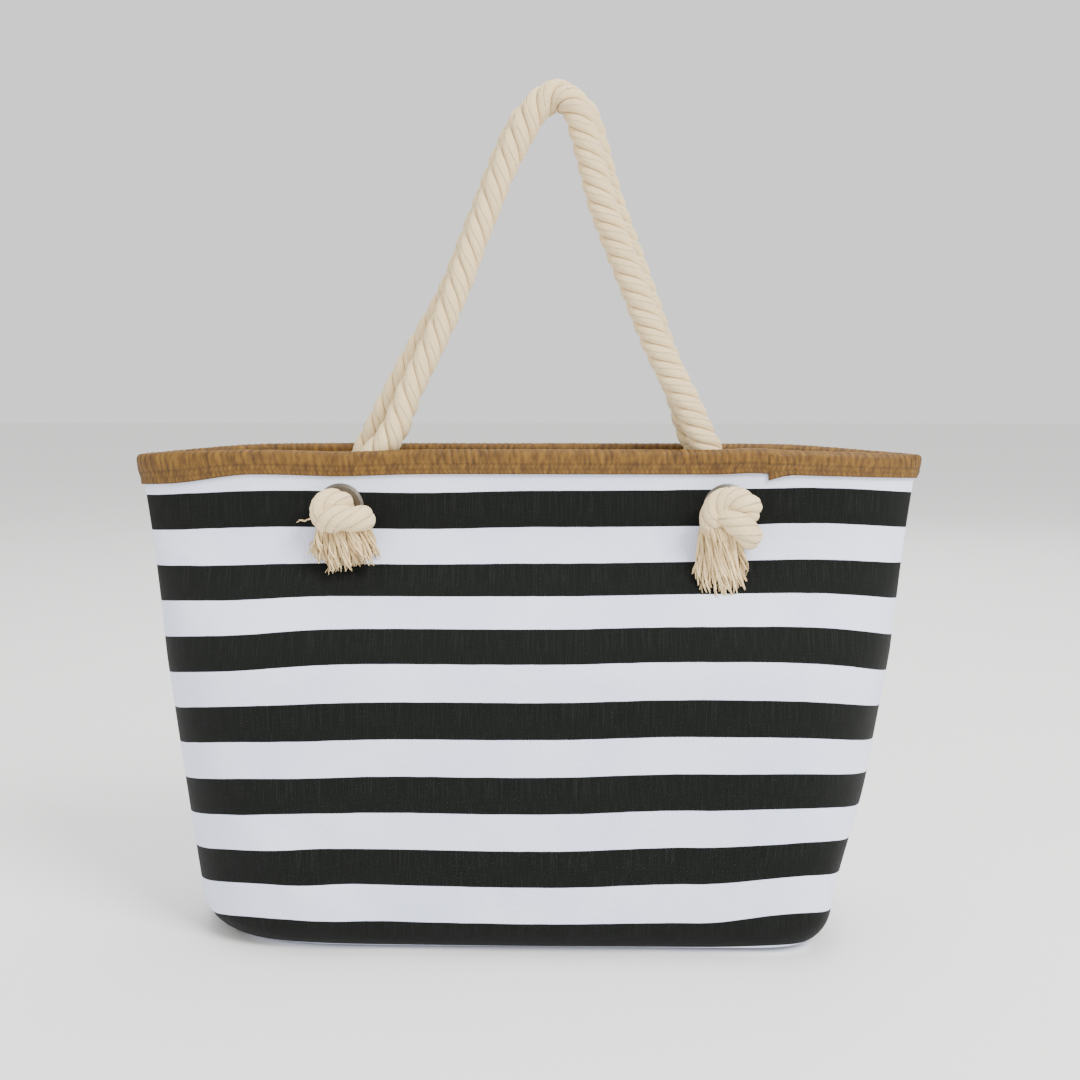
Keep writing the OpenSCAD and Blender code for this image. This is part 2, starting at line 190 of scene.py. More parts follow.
class TOTE_PG_trim(bpy.types.PropertyGroup):
    """Straw tape"""
    rib: length_property("Rib", "Pitch of the straw ribs along the rim", 4.7 * MM)
    braid: length_property("Braid", "Pitch of the small braid under the ribs", 3.3 * MM)
    braid_width: length_property("Braid width", "Height of the small braid", 6.8 * MM)
    light: colour_property("Light straw", "Raised straw", "745219")
    # The dark straw is painted shade in the gaps between the straws, not a colour of the straw itself.
    gap_shade: colour_property("Dark straw", "Straw in the gaps", "1C1004")


class TOTE_PG_rope(bpy.types.PropertyGroup):
    """Rope handles, knots and tassels"""
    diameter: length_property("Diameter", "Diameter of the twisted rope", 20.6 * MM)
    knot_diameter: length_property("Knot diameter", "Diameter of the rope squeezed in its knot", 18 * MM)
    lay: length_property("Lay", "Length in which a strand goes once round, right of the middle", 38 * MM)
    lay_change: length_property("Lay change", "How much longer the lay is left of the middle", 10 * MM)
    light: colour_property("Light cotton", "Cotton on the crown of a strand", "FFE6B4")
    # The dark cotton is painted shade in the grooves where the strands meet, not a colour of the cotton.
    gap_shade: colour_property("Dark cotton", "Cotton in the grooves", "A88B5C")
    clumps: bpy.props.IntProperty(
        name="Clumps", description="Clumps of yarn in one tassel", default=27, min=6, max=60)
    yarns: bpy.props.IntProperty(name="Yarns", description="Yarns in one clump", default=11, min=3, max=20)
    yarn_radius: length_property("Yarn radius", "Radius of one loose yarn", 0.85 * MM)


class TOTE_PG_fittings(bpy.types.PropertyGroup):
    """Metal, zip and board"""
    eyelet: colour_property("Eyelet", "Plating of the eyelets and washers, dulled", "6E685F")
    snap: colour_property("Snap", "Plating of the magnetic snap", "B4AEA3")
    slider: colour_property("Zip", "Plating of the zip's metal", "B7B1A6")
    tape_light: colour_property("Light zip tape", "Raised lines of the zip tape's twill", "C2B9A7")
    # The dark zip tape is painted shade in the lines between the raised twill.
    twill_shade: colour_property("Dark zip tape", "Lines between them", "A89F8E")
    board_light: colour_property("Light board", "Raised grain of the stiffening board", "4A4A4B")
    # The dark board is painted shade in the grain between the raised pebbles.
    pebble_shade: colour_property("Dark board", "Grain between it", "3C3C3D")
    tooth: length_property("Tooth", "Pitch of the teeth in one row of the zip, drawn coarse", 1.3 * MM)


class TOTE_PG_stage(bpy.types.PropertyGroup):
    """Camera and floor"""
    lens: bpy.props.FloatProperty(name="Lens", description="Focal length", default=48.98, unit="CAMERA")
    distance: length_property("Distance", "Camera to the middle of the bag", 1.043)
    height: length_property("Height", "Camera above the floor", 0.3905)
    offset: length_property("Offset", "Camera's aim to the right of the middle", 9.64 * MM)
    azimuth: angle_property("Azimuth", "Camera round the bag", 1.37)
    pitch: angle_property("Pitch", "Camera's tilt down", 6.26)
    floor: colour_property("Floor", "Plain pale floor", "F4F3F1")


# ---------- Mesh making ----------

def grid_faces(rows, columns, wrap_rows=False, wrap_columns=False, start=0):
    """Quads of a grid of points numbered row by row: (i, j), (i, j+1), (i+1, j+1), (i+1, j)."""
    i = np.arange(rows if wrap_rows else rows - 1)[:, None]
    j = np.arange(columns if wrap_columns else columns - 1)[None, :]
    below, beside = (i + 1) % rows, (j + 1) % columns
    corners = [i * columns + j, i * columns + beside, below * columns + beside, below * columns + j]
    return start + np.stack(corners, -1).reshape(-1, 4)


def signed_volume(points, face_sets):
    """Volume inside the faces, positive where they point outwards: the sum of a.(b x c)/6 over fans."""
    total = 0.0
    for faces in face_sets:
        for k in range(1, faces.shape[1] - 1):
            a, b, c = points[faces[:, 0]], points[faces[:, k]], points[faces[:, k + 1]]
            total += float(np.einsum("ij,ij->i", a, np.cross(b, c)).sum()) / 6
    return total


def make_piece(name, points, face_sets, material, body=None, uv=None, tone=None, closed=True):
    """One mesh object from arrays: points (n, 3), faces as arrays of equal polygons, uv and tone per point.

    A closed mesh whose signed volume is negative has every face turned round.
    """
    points = np.asarray(points, float).reshape(-1, 3)
    if closed and signed_volume(points, face_sets) < 0:
        face_sets = [faces[:, ::-1] for faces in face_sets]
    loops = np.concatenate([faces.ravel() for faces in face_sets])
    sizes = np.concatenate([np.full(len(faces), faces.shape[1]) for faces in face_sets])
    starts = np.concatenate([[0], np.cumsum(sizes)[:-1]])
    mesh = bpy.data.meshes.new(name)
    mesh.vertices.add(len(points))
    mesh.vertices.foreach_set("co", points.ravel())
    mesh.loops.add(len(loops))
    mesh.loops.foreach_set("vertex_index", loops.astype(np.int32))
    mesh.polygons.add(len(sizes))
    mesh.polygons.foreach_set("loop_start", starts.astype(np.int32))
    mesh.update(calc_edges=True)
    mesh.shade_smooth()
    if uv is not None:
        layer = mesh.uv_layers.new(name="cloth")
        layer.data.foreach_set("uv", np.asarray(uv, float).reshape(-1, 2)[loops].ravel())
    if tone is not None:
        layer = mesh.attributes.new("tone", "FLOAT", "POINT")
        layer.data.foreach_set("value", np.asarray(tone, float).ravel())
    mesh.materials.append(material)
    piece = bpy.data.objects.new(name, mesh)
    bpy.context.scene.collection.objects.link(piece)
    if body:
        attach(piece, body)
    return piece


def solid_cloth(piece, thickness):
    """Gives a sheet its thickness on the inside."""
    solid = piece.modifiers.new("thickness", "SOLIDIFY")
    solid.thickness = thickness
    solid.offset = -1.0
    return piece


def node_points(node):
    """Points of a CAD node's mesh in the frame, one row each."""
    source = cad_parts[node]
    return np.array([tuple(source.matrix_world @ vertex.co) for vertex in source.data.vertices])


def between(first, last, share):
    """The value the given share of the way from first to last."""
    return first + (last - first) * share


def smooth_step(value, start=0, full=1):
    """3c^2 - 2c^3 with c the value's share of the way from start to full, held between 0 and 1."""
    held = np.clip((value - start) / (full - start), 0, 1)
    return held * held * (3 - 2 * held)


def bump_at(x, centre, width):
    """A bell of height 1: exp(-((x - centre) / width)^2)."""
    return np.exp(-((x - centre) / width) ** 2)


def bumps(x, z, rows):
    """Sum of amount bell(x + lean z) bell(z) over rows of amount, lean and each bell's middle and width."""
    return sum(amount * bump_at(x + lean * z, *across) * bump_at(z, middle, width)
               for amount, lean, *across, middle, width in rows)


def waves(x, z, rows):
    """Sum of amount sin(2 pi (x + lean z) / length + phase) bell(z) over rows of those and the bell's two."""
    return sum(amount * np.sin(2 * np.pi * (x + lean * z) / length + phase) * bump_at(z, middle, width)
               for amount, lean, length, phase, middle, width in rows)


def ripples(along, *rows):
    """Sum of amount sin(along / length + phase) over rows of amount, length in millimetres and phase."""
    return sum(amount * np.sin(along / (length * MM) + phase) for amount, length, phase in rows)


def unit(vectors):
    """Vectors divided by their lengths."""
    return vectors / np.linalg.norm(vectors, axis=-1, keepdims=True)


def lengths_along(path):
    """Length from a path's first point to each of its points."""
    return np.concatenate([[0], np.cumsum(np.linalg.norm(np.diff(path, axis=0), axis=1))])


# ---------- Shape of the bag's wall ----------

def half_length(z):
    """Half of the bag's outer length at a height, which grows evenly from the floor to the rim."""
    return between(BASE_HALF, MOUTH_HALF, np.maximum(z, 0) / RIM_Z)


def wall(u, z, depth, inset=0.0):
    """Point of the front wall at a share u of the half length, a height and a depth below the outer face.

    x = a u and y = -b (1 - |u|^p)^q, where a is half_length(z), and b and the powers go from the neck's to
    the belly's by a smooth step of the height. Both a and b lose the depth and the lower edge's inset. Other
    powers square the lower right corner. The rim droops by RIM_DROOP |u|^6 towards the side seams.
    """
    u, z = np.broadcast_arrays(np.asarray(u, float), np.asarray(z, float))
    full = smooth_step(z, *SWELL_UP)
    square = smooth_step(u, *CORNER_ALONG) * smooth_step(z, *CORNER_UP)
    a = half_length(z) - depth - inset
    b = between(NECK_HALF, BELLY_HALF, full) - depth - inset
    p, q = (between(neck, belly, full) + more * square
            for neck, belly, more in zip(NECK_POWERS, BELLY_POWERS, CORNER_POWERS))
    y = -b * np.maximum(0, 1 - np.abs(u) ** p) ** q
    return np.stack([a * u, y, z - RIM_DROOP * np.abs(u) ** DROOP_POWER * z / RIM_Z], -1)


def settle(points):
    """Moves points of the soft shell as the standing cloth sags, one smooth field for every layer.

    The lower right side is drawn in, shallow folds and dents run across the belly, the rim dips at the left
    end, by the left rope and at the right, and rises by the right rope and along the back, and the two side
    seams lie in a groove. Each term is a product of bells and smooth steps, and fades out at the fittings.
    """
    p = np.array(points, float)
    x, y, z = p[..., 0], p[..., 1], p[..., 2]
    across = np.abs(x) / MOUTH_HALF
    drawn = DRAWN_SLOPE * np.maximum(0, 1 - z / DRAWN_FROM) + DRAWN_STEP * smooth_step(z, *DRAWN_UP)
    drawn = drawn * np.maximum(x / MOUTH_HALF, 0) ** 2
    folds = (waves(x, z, LONG_FOLDS) + bumps(x, z, DENTS)) * MM * smooth_step(across, *FOLDS_SIDE)
    folds = folds * smooth_step(z, *FOLDS_TOP) * smooth_step(z, *FOLDS_FLOOR)
    on_front = smooth_step(y, TURN_DEPTH / 2, -TURN_DEPTH / 2)
    dip = sum(up * MM * bump_at(x, *bell) for up, *bell in RIM_DIPS)
    dip = dip + on_front * sum(up * MM * bump_at(x, *bell) for up, *bell in FRONT_RIM_DIPS)
    dip = dip + BACK_RIM_RISE * smooth_step(y, 0, TURN_DEPTH) * smooth_step(across, *BACK_RISE_SIDE)
    seam = SEAM_DEPTH * bump_at(y, 0, SEAM_WIDTH) * smooth_step(across, *SEAM_ALONG)
    seam = seam * smooth_step(z, *SEAM_TOP) * smooth_step(z, *SEAM_FLOOR)
    p[..., 0] = x - drawn - np.sign(x) * seam
    p[..., 1] = y + np.where(y < 0, -1, 1) * folds
    p[..., 2] = z + dip * smooth_step(z, *RIM_BAND)
    return p


def sag(x, z):
    """How far the weave has sagged at a place, in metres along the cloth: steps, bells and a wave, added."""
    return ((bumps(x, z, SHIFTS) + waves(x, z, LONG_SHIFTS)) * MM
            + RIGHT_SHIFT * smooth_step(x, *RIGHT_SHIFT_ALONG) * smooth_step(z, *RIGHT_SHIFT_UP)
            + LOW_SHIFT * smooth_step(x, *LOW_SHIFT_ALONG) * bump_at(z, *LOW_SHIFT_BELL))


def shell_grid(depth, floor_z, columns):
    """Front half of a layer of the bag as a grid of points, rows from the rim down and columns left to right.

    Heights go in even steps to the lower edge, then round a quarter circle of radius EDGE_R less the depth.
    u = -cos(t) packs the columns towards the side seams, where the wall turns fastest.
    """
    radius = EDGE_R - depth
    turn = np.linspace(np.pi / 2, math.acos((EDGE_R - floor_z) / radius), EDGE_ROWS + 1)[1:]
    heights = np.concatenate([np.linspace(CLOTH_TOP, EDGE_R, FACE_ROWS), EDGE_R - radius * np.cos(turn)])
    insets = np.concatenate([np.zeros(FACE_ROWS), radius * (1 - np.sin(turn))])
    u = -np.cos(np.linspace(0, np.pi, columns))
    return wall(u[None, :], heights[:, None], depth, insets[:, None])


def run_down(points):
    """Length of cloth from the first row to each point, down its column."""
    steps = np.linalg.norm(np.diff(points, axis=0), axis=-1)
    return np.concatenate([np.zeros((1, points.shape[1])), np.cumsum(steps, axis=0)])


def run_across(points):
    """Length of cloth from the middle column to each point, along its row."""
    steps = np.linalg.norm(np.diff(points, axis=1), axis=-1)
    run = np.concatenate([np.zeros((points.shape[0], 1)), np.cumsum(steps, axis=1)], axis=1)
    return run - run[:, run.shape[1] // 2:run.shape[1] // 2 + 1]


def away_from_eyelets(points, faces):
    """Faces whose centres lie further than HOLE_R from both eyelets' axes, which leaves the two holes."""
    centres = points.reshape(-1, 3)[faces].mean(axis=1)
    keep = np.ones(len(faces), bool)
    for x in EYELET_X.values():
        keep &= np.hypot(centres[:, 0] - x, centres[:, 2] - EYELET_Z) > HOLE_R
    return faces[keep]


def drop_loose(points, faces, *values):
    """Leaves out points that no face uses, and numbers the faces again."""
    used = np.unique(faces)
    number = np.zeros(len(points), int)
    number[used] = np.arange(len(used))
    return (points[used], number[faces], *[value[used] for value in values])


# ---------- Materials ----------

WHITE = hex_colour("FFFFFF")


def add(tree, kind, inputs=None, stops=(), **settings):
    """Adds a node, sets its properties, and fills its inputs: a socket is linked, anything else is a value.

    Stops are the places and colours of a colour ramp.
    """
    made = tree.nodes.new(kind)
    for name, value in settings.items():
        setattr(made, name, value)
    for name, value in (inputs or {}).items():
        if isinstance(value, bpy.types.NodeSocket):
            tree.links.new(value, made.inputs[name])
        else:
            made.inputs[name].default_value = value
    if stops:
        elements = made.color_ramp.elements
        while len(elements) < len(stops):
            elements.new(0.5)
        for element, (position, colour) in zip(elements, stops):
            element.position, element.color = position, colour
    return made


def new_material(name, **constants):
    """A material with a Principled shader, whose constants go on the shader's own sockets."""
    material = bpy.data.materials.new(name)
    material.use_nodes = True
    shader = material.node_tree.nodes["Principled BSDF"]
    for socket, value in constants.items():
        shader.inputs[socket.replace("_", " ")].default_value = value
    return material, material.node_tree, shader


def shade(colour, share):
    """A colour with its three channels times share."""
    return tuple(c * share for c in colour[:3]) + (1.0,)


def mixed(first, second, share):
    """A colour the given share of the way from first to second."""
    return tuple(between(a, b, share) for a, b in zip(first[:3], second[:3])) + (1.0,)


def cloth_place(tree):
    """Coordinates along and down the cloth, in metres, and the two apart."""
    place = add(tree, "ShaderNodeUVMap", uv_map="cloth").outputs[0]
    return place, add(tree, "ShaderNodeSeparateXYZ", {"Vector": place}).outputs


def grain(tree, place, sizes, detail=3.0):
    """Irregular grain with sizes in millimetres along the axes of place: noise over place / size."""
    scale = ([1 / (size * MM) for size in sizes] + [1.0])[:3]
    sized = add(tree, "ShaderNodeMapping", {"Vector": place, "Scale": scale}).outputs[0]
    return add(tree, "ShaderNodeTexNoise", {"Vector": sized, "Scale": 1.0, "Detail": detail}).outputs[0]


def sine_lines(tree, value, pitch):
    """Even lines across a value: sin(2 pi value / pitch)."""
    turn = add(tree, "ShaderNodeMath", {0: value, 1: 2 * math.pi / pitch}, operation="MULTIPLY").outputs[0]
    return add(tree, "ShaderNodeMath", {0: turn}, operation="SINE").outputs[0]


def plain_weave(tree, parts, pitch):
    """Height of a plain weave: sin(pi x / pitch) sin(pi y / pitch), bumps that alternate over and under."""
    lines = {k: sine_lines(tree, parts[axis], 2 * pitch) for k, axis in enumerate("XY")}
    return add(tree, "ShaderNodeMath", lines, operation="MULTIPLY").outputs[0]


def toned(tree, colour, pattern, low, high):
    """A colour that goes from a low to a high share of itself with a pattern."""
    return add(tree, "ShaderNodeMix", {0: pattern, 6: shade(colour, low), 7: shade(colour, high)},
               data_type="RGBA").outputs[2]


def varied(tree, colour, share, pattern, *stops):
    """A colour multiplied, to the given share, by tints that follow a pattern."""
    tints = add(tree, "ShaderNodeValToRGB", {"Fac": pattern}, stops)
    return add(tree, "ShaderNodeMix", {0: share, 6: colour, 7: tints.outputs[0]},
               data_type="RGBA", blend_type="MULTIPLY").outputs[2]


def dress(tree, shader, colour, height, strength, relief):
    """Gives a shader its base colour, and a bump of the given strength and relief over a height."""
    bump = add(tree, "ShaderNodeBump", {"Height": height, "Strength": strength, "Distance": relief})
    tree.links.new(colour, shader.inputs["Base Color"])
    tree.links.new(bump.outputs[0], shader.inputs["Normal"])


def striped_canvas(cloth):
    """Cotton canvas, plain-woven in dyed stripes: matt, with a thread grain, slubs and soft stripe edges."""
    material, tree, shader = new_material(
        "Cotton canvas, plain-woven in stripes", Roughness=0.92, Specular_IOR_Level=0.12,
        Sheen_Weight=0.04, Sheen_Roughness=0.5)
    place, parts = cloth_place(tree)
    # A stripe's edge wanders by a thread or so, and is 0.4 mm wide
    wander, edge = 0.7 * MM, 0.004
    wandering = grain(tree, place, (16.67, 1.111))
    down = add(tree, "ShaderNodeMath", {0: wandering, 1: wander, 2: parts["Y"]}, operation="MULTIPLY_ADD")
    first_middle = cloth.first_stripe + cloth.stripe / 2 + wander / 2
    centred = add(tree, "ShaderNodeMath", {0: down.outputs[0], 1: first_middle}, operation="SUBTRACT")
    repeat = add(tree, "ShaderNodeMath", {0: centred.outputs[0], 1: 2 * cloth.stripe}, operation="DIVIDE")
    off = add(tree, "ShaderNodeMath", {0: repeat.outputs[0], 1: 0.5}, operation="PINGPONG")
    is_white = add(tree, "ShaderNodeMapRange", {
        "Value": off.outputs[0], "From Min": 0.25 - edge, "From Max": 0.25 + edge})
    # Slubs: threads 0.7 mm wide that are a little lighter or darker for 25 mm, across and down
    across_slubs = grain(tree, place, (25, 0.7143))
    down_slubs = grain(tree, place, (0.7143, 25))
    patches = grain(tree, place, (71.43, 71.43), 4.0)
    white = toned(tree, cloth.white, across_slubs, 0.93, 1.05)
    white = varied(tree, white, 0.5, patches, (0.35, shade(cloth.white, 0.94)), (0.65, WHITE))
    black = toned(tree, cloth.black, across_slubs, 0.72, 1.5)
    faded = add(tree, "ShaderNodeValToRGB", {"Fac": down_slubs},
                [(0.5, hex_colour("000000")), (0.8, hex_colour("696969"))])
    black = add(tree, "ShaderNodeMix", {0: 0.06, 6: black, 7: faded.outputs[0]},
                data_type="RGBA", blend_type="ADD").outputs[2]
    colour = add(tree, "ShaderNodeMix", {0: is_white.outputs[0], 6: black, 7: white}, data_type="RGBA")
    height = plain_weave(tree, parts, cloth.thread)
    for slubs, share in ((across_slubs, 1.6), (down_slubs, 1.1)):
        raised = add(tree, "ShaderNodeMath", {0: slubs, 1: share, 2: height}, operation="MULTIPLY_ADD")
        height = raised.outputs[0]
    dress(tree, shader, colour.outputs[2], height, 0.55, 0.12 * MM)
    return material


def plain_cotton(cloth, name):
    """Undyed cotton sheeting, plain-woven: matt and smooth, with a thread grain just seen."""
    material, tree, shader = new_material(name, Roughness=0.85, Specular_IOR_Level=0.25, Sheen_Weight=0.1)
    place, parts = cloth_place(tree)
    slubs = grain(tree, place, (20, 0.625))
    patches = grain(tree, place, (55.56, 55.56))
    colour = toned(tree, cloth.lining, slubs, 0.9, 1.06)
    colour = varied(tree, colour, 0.4, patches, (0.3, hex_colour("EFEDEA")), (0.7, WHITE))
    weave = plain_weave(tree, parts, 0.8 * MM)
    height = add(tree, "ShaderNodeMath", {0: slubs, 1: 1.2, 2: weave}, operation="MULTIPLY_ADD").outputs[0]
    dress(tree, shader, colour, height, 0.5, 0.1 * MM)
    return material


def paper_straw(trim):
    """Twisted paper straw, braided: a low satin gloss on the crowns and painted brown shade in the gaps."""
    material, tree, shader = new_material(
        "Paper straw, twisted and braided", Roughness=0.62, Specular_IOR_Level=0.35)
    place, _ = cloth_place(tree)
    tone = add(tree, "ShaderNodeAttribute", attribute_name="tone").outputs["Fac"]
    # Fibres 0.4 mm wide, and stems 3 mm wide that differ from each other
    fibres = grain(tree, place, (0.3846, 4.167))
    stems = grain(tree, place, (3.0303, 9.091), 4.0)
    # Tone runs from the gaps to the crowns: painted shade in the gaps, the straw's own colour on the crowns.
    colour = add(tree, "ShaderNodeValToRGB", {"Fac": tone}, [
        (0.0, trim.gap_shade), (0.45, mixed(trim.gap_shade, trim.light, 0.6)), (1.0, trim.light)]).outputs[0]
    colour = varied(tree, colour, 0.8, stems, (0.3, hex_colour("A2957C")), (0.5, hex_colour("EFECE5")),
                    (0.70, shade(hex_colour("FAFFFA"), 1.5)))
    colour = varied(tree, colour, 0.55, fibres, (0.3, hex_colour("DDD7CE")), (0.7, shade(WHITE, 1.1)))
    dress(tree, shader, colour, fibres, 0.6, 0.2 * MM)
    return material


def cotton_rope(rope):
    """Cotton rope, three strands twisted: soft and matt, yarns running round each strand, grooves darkened
    with painted shade.
    """
    material, tree, shader = new_material(
        "Cotton rope, three strands twisted", Roughness=0.9, Specular_IOR_Level=0.2,
        Sheen_Weight=0.25, Sheen_Roughness=0.45)
    place, parts = cloth_place(tree)
    tone = add(tree, "ShaderNodeAttribute", attribute_name="tone").outputs["Fac"]
    # Yarns 1.5 mm apart run round the strand, 36 mm in girth, once in 70 mm
    yarn, girth, yarn_lay = 1.5 * MM, 36 * MM, 70 * MM
    lean = add(tree, "ShaderNodeMath", {0: parts["X"], 1: girth / yarn_lay, 2: parts["Y"]},
               operation="MULTIPLY_ADD").outputs[0]
    yarns = sine_lines(tree, lean, yarn)
    hairs = grain(tree, place, (8.333, 0.5556))
    clumps = grain(tree, place, (35.71, 11.11))
    # Tone runs from the grooves to the crowns: painted shade in the grooves, the cotton's own colour on the
    # crowns.
    colour = add(tree, "ShaderNodeValToRGB", {"Fac": tone}, [
        (0.0, rope.gap_shade), (0.35, mixed(rope.gap_shade, rope.light, 0.7)), (1.0, rope.light)]).outputs[0]
    colour = varied(tree, colour, 0.6, clumps, (0.3, hex_colour("F1EDE7")),
                    (0.7, shade(hex_colour("FFFEFB"), 1.04)))
    colour = varied(tree, colour, 0.45, hairs, (0.35, hex_colour("ECE8E1")), (0.62, WHITE))
    height = add(tree, "ShaderNodeMath", {0: hairs, 1: 2.4, 2: yarns}, operation="MULTIPLY_ADD").outputs[0]
    dress(tree, shader, colour, height, 0.75, 0.25 * MM)
    return material


def cotton_yarn(rope):
    """Loose cotton yarn, unlaid from the rope: fluffy and matt, each yarn a little lighter or darker, and
    darker towards the root with painted shade under the knot.
    """
    material, tree, shader = new_material(
        "Cotton yarn, unlaid", Roughness=0.92, Specular_IOR_Level=0.2, Sheen_Weight=0.3, Sheen_Roughness=0.4)
    tone = add(tree, "ShaderNodeAttribute", attribute_name="tone").outputs["Fac"]
    specks = grain(tree, add(tree, "ShaderNodeTexCoord").outputs["Object"], (1.111, 1.111, 2.857))
    # The darkest yarns take their colour from the rope's painted groove shade.
    colour = add(tree, "ShaderNodeValToRGB", {"Fac": tone}, [
        (0.0, mixed(rope.gap_shade, rope.light, 0.1)), (1.0, rope.light)]).outputs[0]
    colour = varied(tree, colour, 0.5, specks, (0.3, hex_colour("E7E3DA")), (0.7, WHITE))
    dress(tree, shader, colour, specks, 0.5, 0.2 * MM)
    return material


def satin_nickel(name, colour, roughness):
    """Nickel-plated metal, barrel-finished: a soft warm grey shine, with faint handling marks 2.4 mm wide."""
    material, tree, shader = new_material(name, Metallic=1.0)
    marks = grain(tree, add(tree, "ShaderNodeTexCoord").outputs["Object"], (2.381, 2.381, 2.381), 5.0)
    tones = add(tree, "ShaderNodeValToRGB", {"Fac": marks},
                [(0.3, shade(colour, 0.8)), (0.7, shade(colour, 1.1))])
    rough = add(tree, "ShaderNodeMapRange", {
        "Value": marks, "From Min": 0.3, "From Max": 0.7,
        "To Min": roughness - 0.07, "To Max": roughness + 0.1})
    tree.links.new(rough.outputs[0], shader.inputs["Roughness"])
    dress(tree, shader, tones.outputs[0], marks, 0.15, 0.05 * MM)
    return material


def polyethylene_sheet(fittings):
    """Polyethylene sheet, extruded: grey, low gloss, with a fine pebbled face and painted shade between the
    pebbles.
    """
    material, tree, shader = new_material("Polyethylene sheet, extruded", Roughness=0.6)
    pebbles = grain(tree, add(tree, "ShaderNodeTexCoord").outputs["Object"], (2, 2, 2))
    # Painted shade where the pebbles are low, the board's own grey where they are raised.
    tones = add(tree, "ShaderNodeValToRGB", {"Fac": pebbles},
                [(0.3, fittings.pebble_shade), (0.7, fittings.board_light)])
    dress(tree, shader, tones.outputs[0], pebbles, 0.3, 0.1 * MM)
    return material


def zip_tape_cloth(fittings):
    """Polyester zip tape, twill-woven: flat beige with a slight sheen and slanting lines 1 mm apart, with
    painted shade between the raised lines.
    """
    material, tree, shader = new_material("Polyester tape, twill-woven", Roughness=0.7, Sheen_Weight=0.1)
    _, parts = cloth_place(tree)
    lean = add(tree, "ShaderNodeMath", {0: parts["X"], 1: parts["Y"]}, operation="ADD").outputs[0]
    twill = sine_lines(tree, lean, 1 * MM)
    # Painted shade in the low lines of the twill, the tape's own colour on the raised ones.
    tones = add(tree, "ShaderNodeValToRGB", {"Fac": twill},
                [(0.0, fittings.twill_shade), (1.0, fittings.tape_light)])
    dress(tree, shader, tones.outputs[0], twill, 0.4, 0.1 * MM)
    return material


def finish_node(node, material):
    """Gives a CAD node its finish in every slot."""
    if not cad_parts[node].material_slots:
        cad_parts[node].data.materials.append(material)
    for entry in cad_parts[node].material_slots:
        entry.material = material


# ---------- Stage ----------

FLOOR_REACH = 12.0
SENSOR = 36.0
CLIP = (0.05, 40.0)
WORLD_STRENGTH = 1.15
# Name, place and size in metres, and power in watts
LIGHTS = [
    ("key_light", (1.6, -1.7, 2.3), 1.2, 138.0),
    ("fill_light", (-2.0, -1.6, 1.2), 1.8, 18.0),
    ("top_light", (0.0, 0.6, 2.6), 2.0, 36.0),
    ("back_light", (0.6, 2.4, 1.6), 1.6, 16.0),
]


class TOTE_OT_stage(bpy.types.Operator):
    """Camera at eye level in front of the bag, a plain pale floor and soft studio lights"""
    bl_idname = "tote.stage"
    bl_label = "Stage"

    def execute(self, context):
        stage = context.scene.tote_stage
        turn, tilt = stage.azimuth, stage.pitch
        aim = Vector((-math.sin(turn) * math.cos(tilt), math.cos(turn) * math.cos(tilt), -math.sin(tilt)))
        camera = bpy.data.objects.new("camera", bpy.data.cameras.new("camera"))
        camera.data.lens, camera.data.sensor_width = stage.lens, SENSOR
        camera.data.clip_start, camera.data.clip_end = CLIP
        camera.location = (stage.offset + math.sin(turn) * stage.distance, -math.cos(turn) * stage.distance,
                           stage.height)
        camera.rotation_euler = aim.to_track_quat("-Z", "Y").to_euler()
        context.scene.collection.objects.link(camera)
        context.scene.camera = camera
        plaster, tree, shader = new_material("Painted plaster, rolled", Roughness=0.7)
        marks = grain(tree, add(tree, "ShaderNodeTexCoord").outputs["Object"], (333.3, 333.3, 333.3))
        tones = add(tree, "ShaderNodeValToRGB", {"Fac": marks},
                    [(0.3, shade(stage.floor, 0.985)), (0.7, stage.floor)])
        tree.links.new(tones.outputs[0], shader.inputs["Base Color"])
        corners = FLOOR_REACH * np.array([(-1, -1, 0), (1, -1, 0), (1, 1, 0), (-1, 1, 0)])
        floor = make_piece("floor", corners, [np.array([[0, 1, 2, 3]])], plaster, closed=False)
        middle = Vector((0, 0, RIM_Z / 2))
        for name, where, size, power in LIGHTS:
            lamp = bpy.data.lights.new(name, "AREA")
            lamp.size, lamp.energy = size, power
            light = bpy.data.objects.new(name, lamp)
            light.location = where
            light.rotation_euler = (middle - Vector(where)).to_track_quat("-Z", "Y").to_euler()
            context.scene.collection.objects.link(light)
        world = bpy.data.worlds.new("studio")
        world.use_nodes = True
        background = world.node_tree.nodes["Background"]
        background.inputs["Color"].default_value = WHITE
        background.inputs["Strength"].default_value = WORLD_STRENGTH
        context.scene.world = world
        return {"FINISHED"}


# ---------- Canvas, lining and board ----------

